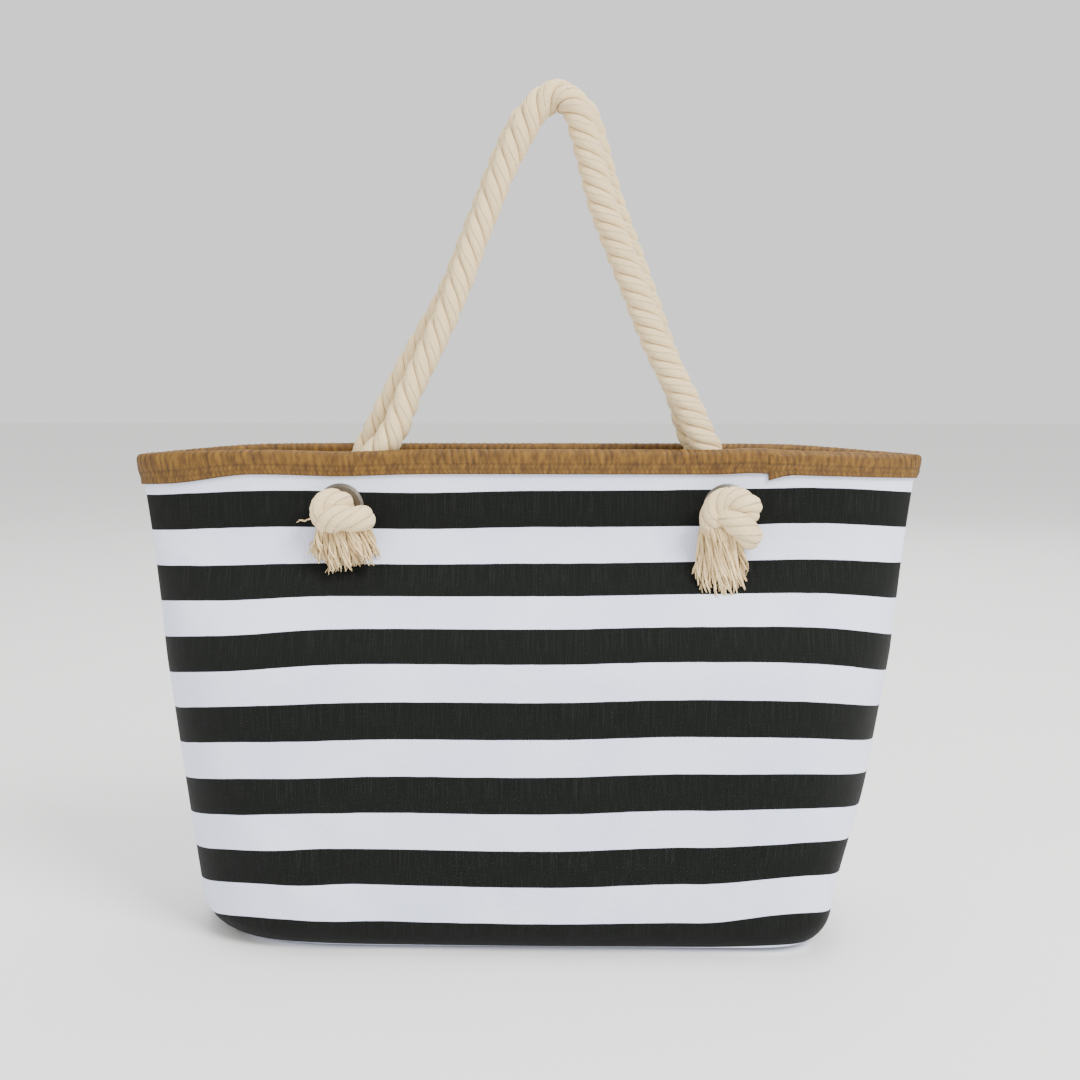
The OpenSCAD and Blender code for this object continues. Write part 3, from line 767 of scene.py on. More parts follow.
def cloth_layer(layer, depth, floor_z, thickness, material, columns):
    """The front, back and base of one layer of the bag, with the walls' holes and cloth coordinates.

    The back wall is the front one with y changed in sign and its faces turned. The base is a straight blend
    between the two walls' last rows.
    """
    grid = shell_grid(depth, floor_z, columns)
    down = run_down(grid) + TAPE_T + sag(grid[..., 0], grid[..., 2])
    uv = np.stack([run_across(grid), down], -1)
    for side, sign in zip(SIDES, (1, -1)):
        wall_grid = grid * np.array([1, sign, 1])
        faces = away_from_eyelets(wall_grid, grid_faces(*grid.shape[:2])[:, ::-sign])
        points, faces, wall_uv = drop_loose(settle(wall_grid).reshape(-1, 3), faces, uv.reshape(-1, 2))
        piece = make_piece(f"{side}_{layer}_cloth", points, [faces], material, "bag", wall_uv, closed=False)
        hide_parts(f"{side}_{layer}")
        solid_cloth(piece, thickness)
    edge = grid[-1]
    share = np.linspace(0, 1, BASE_ROWS)[:, None]
    points = between(edge, edge * TO_BACK, share[..., None])
    travelled = np.minimum(share, 1 - share) * np.abs(edge[:, 1]) * 2
    base_uv = np.stack([np.broadcast_to(edge[:, 0], travelled.shape), down[-1] + travelled], -1)
    faces = grid_faces(*points.shape[:2])[:, ::-1]
    piece = make_piece(f"base_{layer}_cloth", settle(points), [faces], material, "bag", base_uv, closed=False)
    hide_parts(f"base_{layer}")
    solid_cloth(piece, thickness)


class TOTE_OT_canvas(bpy.types.Operator):
    """Striped canvas: the front and back walls and the base"""
    bl_idname = "tote.canvas"
    bl_label = "Striped canvas"

    def execute(self, context):
        material = striped_canvas(context.scene.tote_cloth)
        cloth_layer("canvas", 0.0, 0.0, CANVAS_T, material, CANVAS_COLUMNS)
        return {"FINISHED"}


class TOTE_OT_lining(bpy.types.Operator):
    """Cotton lining: the front and back walls and the base"""
    bl_idname = "tote.lining"
    bl_label = "Lining"

    def execute(self, context):
        material = plain_cotton(context.scene.tote_cloth, "Cotton lining, plain-woven")
        cloth_layer("lining", LINING_DEPTH, LINING_FLOOR[0][2], LINING_T, material, LINING_COLUMNS)
        return {"FINISHED"}


class TOTE_OT_board(bpy.types.Operator):
    """Stiffening board between the canvas base and the lining: the CAD's own mesh, settled like the cloth"""
    bl_idname = "tote.board"
    bl_label = "Stiffening board"

    def execute(self, context):
        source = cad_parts["base_board"].data
        source.calc_loop_triangles()
        faces = np.array([tuple(triangle.vertices) for triangle in source.loop_triangles])
        material = polyethylene_sheet(context.scene.tote_fittings)
        piece = make_piece("stiffening_board", settle(node_points("base_board")), [faces], material, "bag")
        piece.data.shade_flat()
        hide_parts("base_board")
        return {"FINISHED"}


# ---------- Straw tape ----------

FOLD_R = (WALL_T + 2 * (CLEAR + TAPE_T)) / 2
TAPE_LEG = TAPE_H - FOLD_R
TAPE_RUN = 2 * TAPE_LEG + np.pi * FOLD_R
TAPE_COLUMNS, SKIN_ROWS, HIDDEN_ROWS, RIM_STEPS = 661, 53, 13, 4001
# Height of the straw's relief, how deep its gaps lie in the tape's skin, the width over which it fades at an
# edge and what is left of it there, and the depth of the tape's hidden face
RELIEF, SUNK, EDGE_FADE, EDGE_LEFT, HIDDEN = 0.75 * MM, 0.45 * MM, 0.9 * MM, 0.15, 1.7 * MM
# The tape hangs lower round the left side seam, from and to these shares of the half length
HANG, HANG_ALONG = 5.6 * MM, (0.68, 0.92)
# How far a row's stitches lean in pitches, and a rib from the tape's edge to its fold
STITCH_LEAN, RIB_LEAN = 0.5, 0.55
# Slow changes along the rim, as rows for ripples: of the stitches' places, the ribs' places and their depth
STITCH_SLIP = [(0.3, 21.3, 0), (0.2, 7.1, 0.7)]
RIB_SLIP = [(0.5, 31, 0), (0.28, 11.7, 1.3), (0.16, 4.3, 0)]
RIB_STRENGTH, RIB_FADES = (0.62, 0.38), [(1, 46, 2.0), (1, 17, 0)]
# The waist between braid and ribs
WAIST = 1.3 * MM
# The lap's grid, its skin's least height and relief, the widths over which it thins out to the left and
# right, the share of its height that does so, how deep its hidden face is sunk, and its shaded end
LAP_COLUMNS, LAP_ROWS = 37, 40
LAP_SKIN, LAP_RELIEF, LAP_LEFT, LAP_RIGHT, LAP_EDGE = 0.5 * MM, 0.7 * MM, 9 * MM, 1 * MM, 1 / 14
LAP_SUNK, LAP_SHADE = 0.2 * MM, 1.6 * MM


def tape_profile(run):
    """Depth, drop below the rim and outward direction of the tape's skin, at a run from its lower outer edge.

    Up the outer leg, over a half circle of radius FOLD_R and down the inner leg.
    """
    turn = np.clip((run - TAPE_LEG) / FOLD_R, 0, np.pi)
    centre = FOLD_R - TAPE_T - CLEAR
    past = np.maximum(0, run - TAPE_LEG - np.pi * FOLD_R)
    depth = centre - FOLD_R * np.cos(turn)
    drop = np.where(run < TAPE_LEG, TAPE_H - run, FOLD_R * (1 - np.sin(turn)) + past)
    return depth, drop, -np.cos(turn), np.sin(turn)


def straw_relief(trim, along, run):
    """Height of the straw at a place along the rim and a run over the tape, from 0 in a gap to 1 on a crown.

    The legs' lower parts are two rows of slanting stitches, each |cos| of its phase, and a waist lies above
    them. The rest is ribs, |cos| to a power, with finer straws on them and a height of its own for each rib.
    Slow sines make stitches and ribs wider and narrower, and the ribs fainter and stronger.
    """
    from_edge = np.minimum(run, TAPE_RUN - run)
    row = from_edge / (trim.braid_width / 2)
    lean = np.where(row < 1, 1, -1) * (row % 1)
    turns = along / trim.braid + STITCH_LEAN * lean + ripples(along, *STITCH_SLIP)
    stitch = np.abs(np.cos(np.pi * turns)) ** 0.8 * np.sin(np.pi * np.clip(row % 1, 0.04, 0.96)) ** 0.5
    phase = along / trim.rib + ripples(along, *RIB_SLIP) + RIB_LEAN * (from_edge / TAPE_LEG - 1)
    least, more = RIB_STRENGTH
    strength = least + more * ripples(along, RIB_FADES[0]) * ripples(along, RIB_FADES[1])
    rib = 1 - strength * (1 - np.abs(np.cos(np.pi * phase)) ** 0.6)
    straws = 0.82 + 0.18 * np.abs(np.cos(2.5 * np.pi * phase + 9 * from_edge / TAPE_LEG))
    own = 0.88 + 0.12 * np.sin(17.0 * np.floor(phase + 0.5))
    waist = np.clip((from_edge - trim.braid_width) / WAIST, 0, 1) ** 0.6
    return np.where(from_edge < trim.braid_width, 0.25 + 0.6 * stitch, rib * straws * own * waist)


def rim_shares(count):
    """Shares u of the half length at even steps of length along the front rim, left to right."""
    fine = -np.cos(np.linspace(0, np.pi, RIM_STEPS))
    run = lengths_along(wall(fine, np.full(fine.shape, RIM_Z), 0.0))
    return np.interp(np.linspace(0, run[-1], count), run, fine), run[-1]


def folded_tape(trim, material):
    """The tape over the whole rim: a closed ring of profiles, each with a skin and a hidden face.

    The skin stands out of the profile by the straw's relief, and the hidden face lies inside it, against the
    canvas. The drop below the rim grows at the left, where the tape hangs lower. The back is the front one
    with y changed in sign.
    """
    shares, half_run = rim_shares(TAPE_COLUMNS)
    u = np.concatenate([shares, shares[-2:0:-1]])[:, None]
    on_front = np.arange(len(u)) < TAPE_COLUMNS
    along = np.concatenate([np.linspace(0, half_run, TAPE_COLUMNS),
                            np.linspace(half_run, 2 * half_run, TAPE_COLUMNS)[1:-1]])[:, None]
    run, back_run = np.linspace(0, TAPE_RUN, SKIN_ROWS), np.linspace(TAPE_RUN, 0, HIDDEN_ROWS)
    height = straw_relief(trim, along, run[None, :])
    edge = np.clip(np.minimum(run, TAPE_RUN - run) / EDGE_FADE, EDGE_LEFT, 1)
    lower = 1 + HANG * smooth_step(-u, *HANG_ALONG) / TAPE_H
    faces_of_tape = []
    for places, out in ((run, (RELIEF * height - SUNK) * edge), (back_run, -HIDDEN)):
        depth, drop, out_depth, out_up = tape_profile(places)
        faces_of_tape.append(wall(u, RIM_Z - drop * lower + out_up * out, depth + out_depth * out))
    rings = np.concatenate(faces_of_tape, axis=1)
    rings[..., 1] *= np.where(on_front, 1, -1)[:, None]
    # The straw's height is also its tone, which the material turns into painted shade in the gaps.
    tone = np.concatenate([height, np.zeros((len(u), HIDDEN_ROWS))], axis=1)
    uv = np.stack(np.broadcast_arrays(along, np.concatenate([run, back_run])[None, :]), -1)
    faces = grid_faces(*rings.shape[:2], wrap_rows=True, wrap_columns=True)
    tape = make_piece("straw_rim_tape", settle(rings), [faces], material, "bag", uv, tone)
    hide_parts("rim_tape")


def lapped_end(trim, material):
    """The folded end of the tape on the front: a slab with the same straw, its low corner hanging out.

    Across and up it is a grid over the lap's box. Its lower left corner drops by the lap's own fall, a
    product of powers of what is left to the top and to the right.
    """
    low, high = LAP
    x = np.linspace(low[0], high[0], LAP_COLUMNS)[None, :]
    rise = np.linspace(0, 1, LAP_ROWS)[:, None]
    foot = RIM_Z - TAPE_H
    fall = (foot - low[2]) * (1 - rise) ** 2 * (1 - (x - low[0]) / (high[0] - low[0])) ** 1.5
    z = foot + rise * (high[2] - foot) - fall
    u = x / half_length(z)
    height = straw_relief(trim, x + 0.5 * trim.rib, np.broadcast_to(rise * TAPE_LEG, fall.shape))
    to_ends = np.minimum((x - low[0]) / LAP_LEFT, (high[0] - x) / LAP_RIGHT)
    full = np.clip(np.minimum(np.minimum(rise, 1 - rise) / LAP_EDGE, to_ends), 0, 1) ** 0.5
    outer = wall(u, z, -(TAPE_T + 2 * CLEAR) - (LAP_SKIN + LAP_RELIEF * height) * full)
    inner = wall(u, z, -(TAPE_T + CLEAR) + LAP_SUNK)[:, ::-1]
    rings = np.concatenate([outer, inner], axis=1)
    shaded = height * np.clip((high[0] - x) / LAP_SHADE, 0.05, 1)
    tone = np.concatenate([shaded, 0 * height], axis=1)
    faces = grid_faces(*rings.shape[:2], wrap_columns=True)
    # The lower and the upper edge are closed by quads between the outer and the inner face
    width, half = 2 * LAP_COLUMNS, np.arange(LAP_COLUMNS - 1)
    quads = np.stack([half, half + 1, width - 2 - half, width - 1 - half], -1)
    ends = [quads[:, ::-1], quads + (LAP_ROWS - 1) * width]
    uv = np.stack([rings[..., 0], rings[..., 2]], -1)
    lap = make_piece("straw_tape_lap", settle(rings), [faces, *ends], material, "bag", uv, tone)
    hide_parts("rim_tape_lap")


class TOTE_OT_rim_tape(bpy.types.Operator):
    """Braided straw tape folded over the rim, and its lapped end"""
    bl_idname = "tote.rim_tape"
    bl_label = "Straw rim tape"

    def execute(self, context):
        trim = context.scene.tote_trim
        material = paper_straw(trim)
        folded_tape(trim, material)
        lapped_end(trim, material)
        return {"FINISHED"}


# ---------- Metal fittings ----------

class TOTE_OT_eyelets(bpy.types.Operator):
    """Nickel finish of the four eyelets and their washers"""
    bl_idname = "tote.eyelets"
    bl_label = "Eyelets"

    def execute(self, context):
        nickel = satin_nickel("Steel eyelet, nickel-plated", context.scene.tote_fittings.eyelet, 0.42)
        for corner in CORNERS:
            finish_node(f"{corner}_eyelet", nickel)
            finish_node(f"{corner}_washer", nickel)
        return {"FINISHED"}


class TOTE_OT_snap(bpy.types.Operator):
    """Magnetic snap at the middle of the mouth"""
    bl_idname = "tote.snap"
    bl_label = "Magnetic snap"

    def execute(self, context):
        nickel = satin_nickel("Steel snap, nickel-plated", context.scene.tote_fittings.snap, 0.28)
        for node in ("snap_stud", "snap_socket", "snap_stud_plate", "snap_socket_plate"):
            finish_node(node, nickel)
        return {"FINISHED"}


# ---------- Ropes ----------

# Routes of the two arches above the rim, as x and z in millimetres, as the frame's handles follow them
FRONT_ROUTE = [
    (-98, 346), (-83.5, 376), (-70, 404), (-57, 431), (-45, 459), (-35, 486), (-24, 513), (-12.5, 540),
    (-1, 562), (9, 577), (22, 584), (33, 577), (39, 562), (45, 540), (52, 513), (62, 486),
    (73, 459), (84, 431), (96, 404), (111, 376), (125, 346),
]
BACK_ROUTE = [
    (-112, 346), (-97, 376), (-82, 404), (-66, 431), (-51, 459), (-40, 486), (-29, 513), (-18, 540),
    (-7, 562), (6, 578), (23, 585), (37, 578), (45, 562), (51, 540), (59, 513), (69, 486),
    (79, 459), (89, 431), (99, 404), (110, 376), (120, 346),
]
# Knots about an eyelet's centre, from the hole outwards: x, distance in front of the cloth, z, in millimetres
KNOTS = {
    "left": [
        (0, -10, 0), (1, 3, 1), (1, 11, 4), (-6, 15, 4.5), (-10.5, 15, -2), (-7, 12, -8), (3, 9, -9),
        (14, 10, -8), (18, 16, -6.5), (11, 22, -6), (2, 22, -6), (-5, 18, -8), (-6, 12, -10),
    ],
    "right": [
        (0, -10, 0), (1, 3, 1), (6, 9, -6), (12, 11, -14), (14, 17, -18), (9, 22, -12), (1, 22, -6),
        (-3, 17, -1), (4, 11, -1), (12, 12, -2), (13, 17, 2), (8, 20, 5.5), (0, 20, 7.5), (-7, 19, 4.5),
        (-11, 18, -1), (-11, 16, -10), (-10, 14, -18),
    ],
}
ARCH_LOW = box("front_handle_rope")[0][2]
APEX_Y = -10.3 * MM
ROPE_INSIDE_Y = box("front_left_rope_end")[1][1] - 10 * MM
# The bend inside an eyelet: how far its middle cuts the corner, how high it ends and how far along the rim
BEND_CUT, BEND_RISE, BEND_LEAN = 3.19 * MM, 13 * MM, {"left": 2 * MM, "right": -1 * MM}
# Step and sides of the sweep, and how a path's chords count towards its spline
ROPE_STEP, STRAND_SIDES, CHORD_POWER = 2.6 * MM, 24, 0.75
# Strands, free and then pressed together, as shares of the rope's diameter: their middles' distance from the
# rope's, their half widths outwards and round, and the cosine of the place where they meet
STRAND_AWAY, STRAND_OUT, STRAND_ROUND = (0.262, 0.200), (0.238, 0.308), (0.325, 0.370)
STRAND_MEET = (-0.40, 0.02)
# Fade of the tone towards a crown, a strand's girth as a share of the diameter, and the shift of its yarns
CROWN_FADE, STRAND_GIRTH, YARN_SHIFT = 0.34, 1.78, 0.31
# The rope is squeezed outside the cloth, from and to this depth
KNOT_FROM, KNOT_FULL = NECK_HALF + 1 * MM, NECK_HALF + 9 * MM
# It thins by shares in its hole and left of the middle, where it is pulled, over these widths and heights
HOLE_THIN, HOLE_WIDTH, HOLE_TOP = 0.06, 7 * MM, EYELET_Z + 12 * MM
PULLED_THIN, PULLED_ALONG, PULLED_UP = 0.10, (0, -20 * MM), (RIM_Z, RIM_Z + 50 * MM)
# The lay changes across the middle
LAY_ALONG = (40 * MM, -40 * MM)


def smooth_path(points, step):
    """A natural cubic spline through the points, cut again into even steps.

    Its parameter grows by the chord lengths to a power. The second derivatives m solve
    h0 m0 + 2 (h0 + h1) m1 + h1 m2 = 6 (slope1 - slope0) with free ends.
    """
    points = np.asarray(points, float)
    h = np.linalg.norm(np.diff(points, axis=0), axis=1) ** CHORD_POWER
    knots = np.concatenate([[0], np.cumsum(h)])
    n = len(points)
    matrix = np.eye(n)
    middle = np.arange(1, n - 1)
    matrix[middle, middle - 1] = h[:-1]
    matrix[middle, middle] = 2 * (h[:-1] + h[1:])
    matrix[middle, middle + 1] = h[1:]
    right = np.zeros_like(points)
    right[1:-1] = 6 * np.diff(np.diff(points, axis=0) / h[:, None], axis=0)
    m = np.linalg.solve(matrix, right)

    def at(t):
        """Points of the spline: m0 a^3 / 6h + m1 b^3 / 6h + (p0 / h - m0 h / 6) a + (p1 / h - m1 h / 6) b."""
        k = np.clip(np.searchsorted(knots, t, side="right") - 1, 0, n - 2)
        w, a = h[k][:, None], (knots[k + 1] - t)[:, None]
        b = (t - knots[k])[:, None]
        bent = (m[k] * a ** 3 + m[k + 1] * b ** 3) / (6 * w)
        return bent + (points[k] / w - m[k] * w / 6) * a + (points[k + 1] / w - m[k + 1] * w / 6) * b

    t = np.linspace(0, knots[-1], 60 * n)
    run = lengths_along(at(t))
    return at(np.interp(np.linspace(0, run[-1], int(run[-1] / step) + 2), run, t))


def carried_frame(path):
    """Two cross directions along a path that don't twist round it.

    Each naive cross direction is carried to the next point by the smallest turn, and the angles by which the
    naive ones differ from the carried ones are added up and taken out.
    """
    tangent = unit(np.gradient(path, axis=0))
    reference = np.where(np.abs(tangent[:, 2:3]) < 0.8, [[0.0, 0.0, 1.0]], [[1.0, 0.0, 0.0]])
    e = unit(np.cross(reference, tangent))
    f = np.cross(tangent, e)
    here, after = tangent[:-1], tangent[1:]
    lean = (after * e[:-1]).sum(-1, keepdims=True) / (1 + (here * after).sum(-1, keepdims=True))
    carried = e[:-1] - lean * (here + after)
    slip = np.arctan2((carried * f[1:]).sum(-1), (carried * e[1:]).sum(-1))
    angle = np.concatenate([[0], np.cumsum(slip)])[:, None]
    return np.cos(angle) * e + np.sin(angle) * f, -np.sin(angle) * e + np.cos(angle) * f


def laid_rope(path, diameter, lay, tight):
    """Three strands twisted left-handed round a path, as points, faces, cloth coordinates and tone.

    Strand k's middle is at the path + c d (cos, sin) of the angle -2 pi s / lay + 2 pi k / 3. Its outline in
    the cross-section is an oval, a d out and b d round. Where tight goes from 0 to 1, as in a knot, the
    strands are pressed into each other: c falls, and a and b grow. Tone is 0 where two strands meet and 1 on
    a crown.
    """
    n1, n2 = carried_frame(path)
    run = lengths_along(path)
    turns = np.concatenate([[0], np.cumsum(np.diff(run) / lay[1:])])
    away, out_half, round_half = (between(*pair, tight) * diameter
                                  for pair in (STRAND_AWAY, STRAND_OUT, STRAND_ROUND))
    psi = np.linspace(0, 2 * np.pi, STRAND_SIDES, endpoint=False)[None, :]
    count = len(path) * STRAND_SIDES
    # Below this cosine the tone paints shade into the groove between two strands; in a knot the painted shade
    # reaches further up each strand.
    met = between(*STRAND_MEET, tight[:, None])
    tone = smooth_step(np.cos(psi), met, met + CROWN_FADE)
    girth = STRAND_GIRTH * diameter.max() * psi / (2 * np.pi)
    parts = []
    for k in range(3):
        angle = (-2 * np.pi * turns + 2 * np.pi * k / 3)[:, None]
        out = np.cos(angle) * n1 + np.sin(angle) * n2
        beside = -np.sin(angle) * n1 + np.cos(angle) * n2
        points = ((path + away[:, None] * out)[:, None]
                  + (out_half[:, None] * np.cos(psi))[..., None] * out[:, None]
                  + (round_half[:, None] * np.sin(psi))[..., None] * beside[:, None])
        uv = np.stack(np.broadcast_arrays(run[:, None] + YARN_SHIFT * k, girth), -1)
        faces = grid_faces(len(path), STRAND_SIDES, wrap_columns=True, start=k * count)
        side = np.arange(STRAND_SIDES)
        ends = np.stack([k * count + side[::-1], (k + 1) * count - STRAND_SIDES + side])
        parts.append((points.reshape(-1, 3), faces, ends, uv.reshape(-1, 2), tone.ravel()))
    points, faces, ends, uv, tone = (np.concatenate(group) for group in zip(*parts))
    return points, [faces, ends], uv, tone


def handle_points(route):
    """The whole rope on the front side, from the left knot's end, over the arch, to the right knot's end.

    The arch leans in from the rope's place inside the mouth to APEX_Y, evenly with its height.
    """
    top = max(z for _, z in route) * MM
    arch = []
    for x, z in route:
        share = (z * MM - ARCH_LOW) / (top - ARCH_LOW)
        arch.append((x * MM, between(ROPE_INSIDE_Y, APEX_Y, share), z * MM))
    limbs = []
    for hand in HANDS:
        at = EYELET_X[hand]
        knot = [(at + x * MM, -NECK_HALF - out * MM, EYELET_Z + z * MM) for x, out, z in KNOTS[hand][:0:-1]]
        limbs.append(knot + [(at, ROPE_INSIDE_Y - BEND_CUT, EYELET_Z + BEND_CUT),
                             (at + BEND_LEAN[hand], ROPE_INSIDE_Y, EYELET_Z + BEND_RISE)])
    return limbs[0] + arch + limbs[1][::-1]


class TOTE_OT_handles(bpy.types.Operator):
    """Front and back handles: each one three-strand rope, knotted outside its two eyelets"""
    bl_idname = "tote.handles"
    bl_label = "Rope handles"

    def execute(self, context):
        rope = context.scene.tote_rope
        material = cotton_rope(rope)
        for side, route, sign in (("front", FRONT_ROUTE, 1), ("back", BACK_ROUTE, -1)):
            path = smooth_path(np.array(handle_points(route)) * np.array([1, sign, 1]), ROPE_STEP)
            x, y, z = path[:, 0], np.abs(path[:, 1]), path[:, 2]
            outside = smooth_step(y, KNOT_FROM, KNOT_FULL)
            hole = bump_at(y, NECK_HALF, HOLE_WIDTH) * (z < HOLE_TOP)
            pulled = smooth_step(x, *PULLED_ALONG) * smooth_step(z, *PULLED_UP)
            diameter = between(rope.diameter, rope.knot_diameter, outside)
            diameter = diameter * (1 - HOLE_THIN * hole) * (1 - PULLED_THIN * pulled)
            lay = rope.lay + rope.lay_change * smooth_step(x, *LAY_ALONG)
            points, faces, uv, tone = laid_rope(path, diameter, lay, outside)
            piece = make_piece(f"{side}_rope", points, faces, material, uv=uv, tone=tone)
            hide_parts(f"{side}_handle_rope", f"{side}_left_rope_end", f"{side}_right_rope_end",
                        f"{side}_left_knot", f"{side}_right_knot")
            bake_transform(piece)
        return {"FINISHED"}


# ---------- Tassels ----------

# About an eyelet's centre, in millimetres: middle and half widths of the root and of the tips, how much the
# outer tips rise, and how ragged they are
TASSELS = {
    "left": dict(
        root=(4, 15, -9), root_half=(16, 6), tip=(5, 12, -43), tip_half=(24, 7), rise=13, ragged=3.2),
    "right": dict(
        root=(-7, 15, -12), root_half=(11, 7), tip=(-5, 12, -60), tip_half=(18, 8), rise=11, ragged=3.5),
}
# Stray threads about an eyelet's centre, as root and tip
STRAYS = {
    "left": [((-15, 12, -6), (-29, 9, -10)), ((-12, 14, -16), (-22, 9, -30)), ((18, 12, -14), (30, 8, -33))],
    "right": [((6, 12, -48), (17, 9, -51)), ((4, 12, -50), (13, 8, -60)), ((-16, 12, -40), (-27, 8, -52))],
}
FIRST_SEED, CLUMP_JITTER, LAYERS = 40, 0.4, 3
CLUMP_SPREAD, CLUMP_WAVE, STRAY_SPREAD, STRAY_WAVE, STRAY_YARNS = 3.4 * MM, 1.1 * MM, 1 * MM, 2 * MM, 2
YARN_RINGS, YARN_SIDES = 11, 5


def yarn_clumps(rng, roots, tips, yarns, spread, wave, thickness):
    """Loose yarns in clumps from roots to tips, as points, faces and tone.

    A clump's middle is root + (tip - root) t + wave sin(speed t + phase) t. Each of its yarns lies off the
    middle by the spread times (cos, sin) of an angle that turns about once on the way or less, narrower
    halfway, and tapers at its tip.
    """
    clumps = len(roots)
    t = np.linspace(0, 1, YARN_RINGS)[None, None, :, None]
    middle = roots[:, None, None] + (tips - roots)[:, None, None] * t
    sway = rng.normal(0, 1, (clumps, 1, 1, 3)) * wave
    phase = rng.uniform(0, 2 * np.pi, (clumps, 1, 1, 3))
    speed = rng.uniform(3.0, 6.5, (clumps, 1, 1, 3))
    middle = middle + sway * np.sin(speed * t + phase) * t
    first_angle = rng.uniform(0, 2 * np.pi, (clumps, yarns, 1, 1))
    angle = first_angle + 2 * np.pi * t * rng.uniform(0.4, 1.1, (clumps, 1, 1, 1))
    place = np.sqrt(rng.uniform(0.02, 1, (clumps, yarns, 1, 1)))
    off = spread * place * (1 - 0.45 * np.sin(np.pi * t) + 0.25 * t)
    own = rng.normal(0, 0.3, (clumps, yarns, 1, 3)) * wave * np.sin(2.5 * speed * t) * t
    shorter = 1 - 0.22 * rng.uniform(0, 1, (clumps, yarns, 1, 1)) ** 2
    along = roots[:, None, None] * (1 - shorter) + middle * shorter
    line = along + off * np.concatenate([np.cos(angle), 0.8 * np.sin(angle), 0 * angle], -1) + own
    tangent = unit(np.gradient(line, axis=2))
    e = unit(np.cross(tangent, np.array([0.0, 1.0, 0.0])))
    f = np.cross(tangent, e)
    psi = np.linspace(0, 2 * np.pi, YARN_SIDES, endpoint=False)[:, None]
    radius = thickness * rng.uniform(0.75, 1.2, (clumps, yarns, 1, 1)) * (1 - 0.6 * t ** 4)
    ring = np.cos(psi) * e[..., None, :] + np.sin(psi) * f[..., None, :]
    points = line[..., None, :] + radius[..., None, :] * ring
    offset = (np.arange(clumps * yarns) * YARN_RINGS * YARN_SIDES)[:, None, None]
    quads = (grid_faces(YARN_RINGS, YARN_SIDES, wrap_columns=True)[None] + offset).reshape(-1, 4)
    side = np.arange(YARN_SIDES)
    ends = np.stack([side[::-1], (YARN_RINGS - 1) * YARN_SIDES + side])
    ends = (ends[None] + offset).reshape(-1, YARN_SIDES)
    # Each yarn's tone is random, times a share that falls to 0.6 at its root: painted shade under the knot.
    light = rng.uniform(0, 1, (clumps, yarns, 1, 1)) * (0.6 + 0.4 * t)
    tone = np.repeat(np.broadcast_to(light, (clumps, yarns, YARN_RINGS, 1)), YARN_SIDES, axis=-1)
    return points.reshape(-1, 3), [quads, ends], tone


def tassel(rng, hand, rope):
    """A frayed end on the front, as points, faces and tone: clumps of yarn, and a few stray threads.

    Clumps are spread evenly over the width, in three layers from the cloth outwards, and the tips of the
    outer ones are higher by the rise times the square of their place.
    """
    shape, count = TASSELS[hand], rope.clumps
    across = (np.arange(count) + 0.5 + rng.uniform(-CLUMP_JITTER, CLUMP_JITTER, count)) / count * 2 - 1
    layer = (np.arange(count) % LAYERS - 1) * np.sqrt(np.maximum(0.1, 1 - across ** 2))
    root, tip = np.array(shape["root"], float), np.array(shape["tip"], float)
    offsets = np.stack([across, layer], -1)
    roots = np.column_stack([root[:2] + offsets * shape["root_half"], np.full(count, root[2])])
    tip_z = tip[2] + shape["rise"] * across ** 2 + rng.normal(0, 1, count) * shape["ragged"]
    tips = np.column_stack([tip[:2] + offsets * shape["tip_half"], tip_z])
    centre = np.array([EYELET_X[hand], -NECK_HALF, EYELET_Z])
    strays = np.array(STRAYS[hand], float)
    bundles = []
    for (first, last), *how in (((roots, tips), rope.yarns, CLUMP_SPREAD, CLUMP_WAVE, rope.yarn_radius),
                                ((strays[:, 0], strays[:, 1]), STRAY_YARNS, STRAY_SPREAD, STRAY_WAVE,
                                 0.5 * rope.yarn_radius)):
        bundles.append(yarn_clumps(rng, centre + first * TO_BACK * MM, centre + last * TO_BACK * MM, *how))
    shift = len(bundles[0][0])
    points = np.concatenate([bundle[0] for bundle in bundles])
    faces = [np.concatenate([a, b + shift]) for a, b in zip(bundles[0][1], bundles[1][1])]
    return points, faces, np.concatenate([bundle[2].ravel() for bundle in bundles])


class TOTE_OT_tassels(bpy.types.Operator):
    """Frayed rope ends under the four knots"""
    bl_idname = "tote.tassels"
    bl_label = "Tassels"

    def execute(self, context):
        rope = context.scene.tote_rope
        material = cotton_yarn(rope)
        for number, corner in enumerate(CORNERS):
            side, hand = corner.split("_")
            points, faces, tone = tassel(np.random.default_rng(FIRST_SEED + number), hand, rope)
            if side == "back":
                points = points * TO_BACK
            piece = make_piece(f"{corner}_frayed_end", points, faces, material, "bag", tone=tone)
            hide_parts(f"{corner}_tassel")
        return {"FINISHED"}


# ---------- Zipped pocket ----------

PATCH_COLUMNS, PATCH_ROWS, PATCH_T = 91, 46, 0.5 * MM
PATCH_DEPTH = WALL_T + 1.8 * MM
# Share of the chain's half width that a tooth takes, its half length in pitches, and the first tooth's place
TOOTH_WIDE, TOOTH_HALF, FIRST_TOOTH = 0.62, 0.36, 0.75


def back_patch(node):
    """Points of a patch on the inside of the back wall over a node's box, rows from the top down."""
    low, high = box(node)
    x = np.linspace(low[0], high[0], PATCH_COLUMNS)[None, :]
    z = np.linspace(high[2], low[2], PATCH_ROWS)[:, None]
    return wall(x / (half_length(z) - PATCH_DEPTH), z, PATCH_DEPTH) * TO_BACK


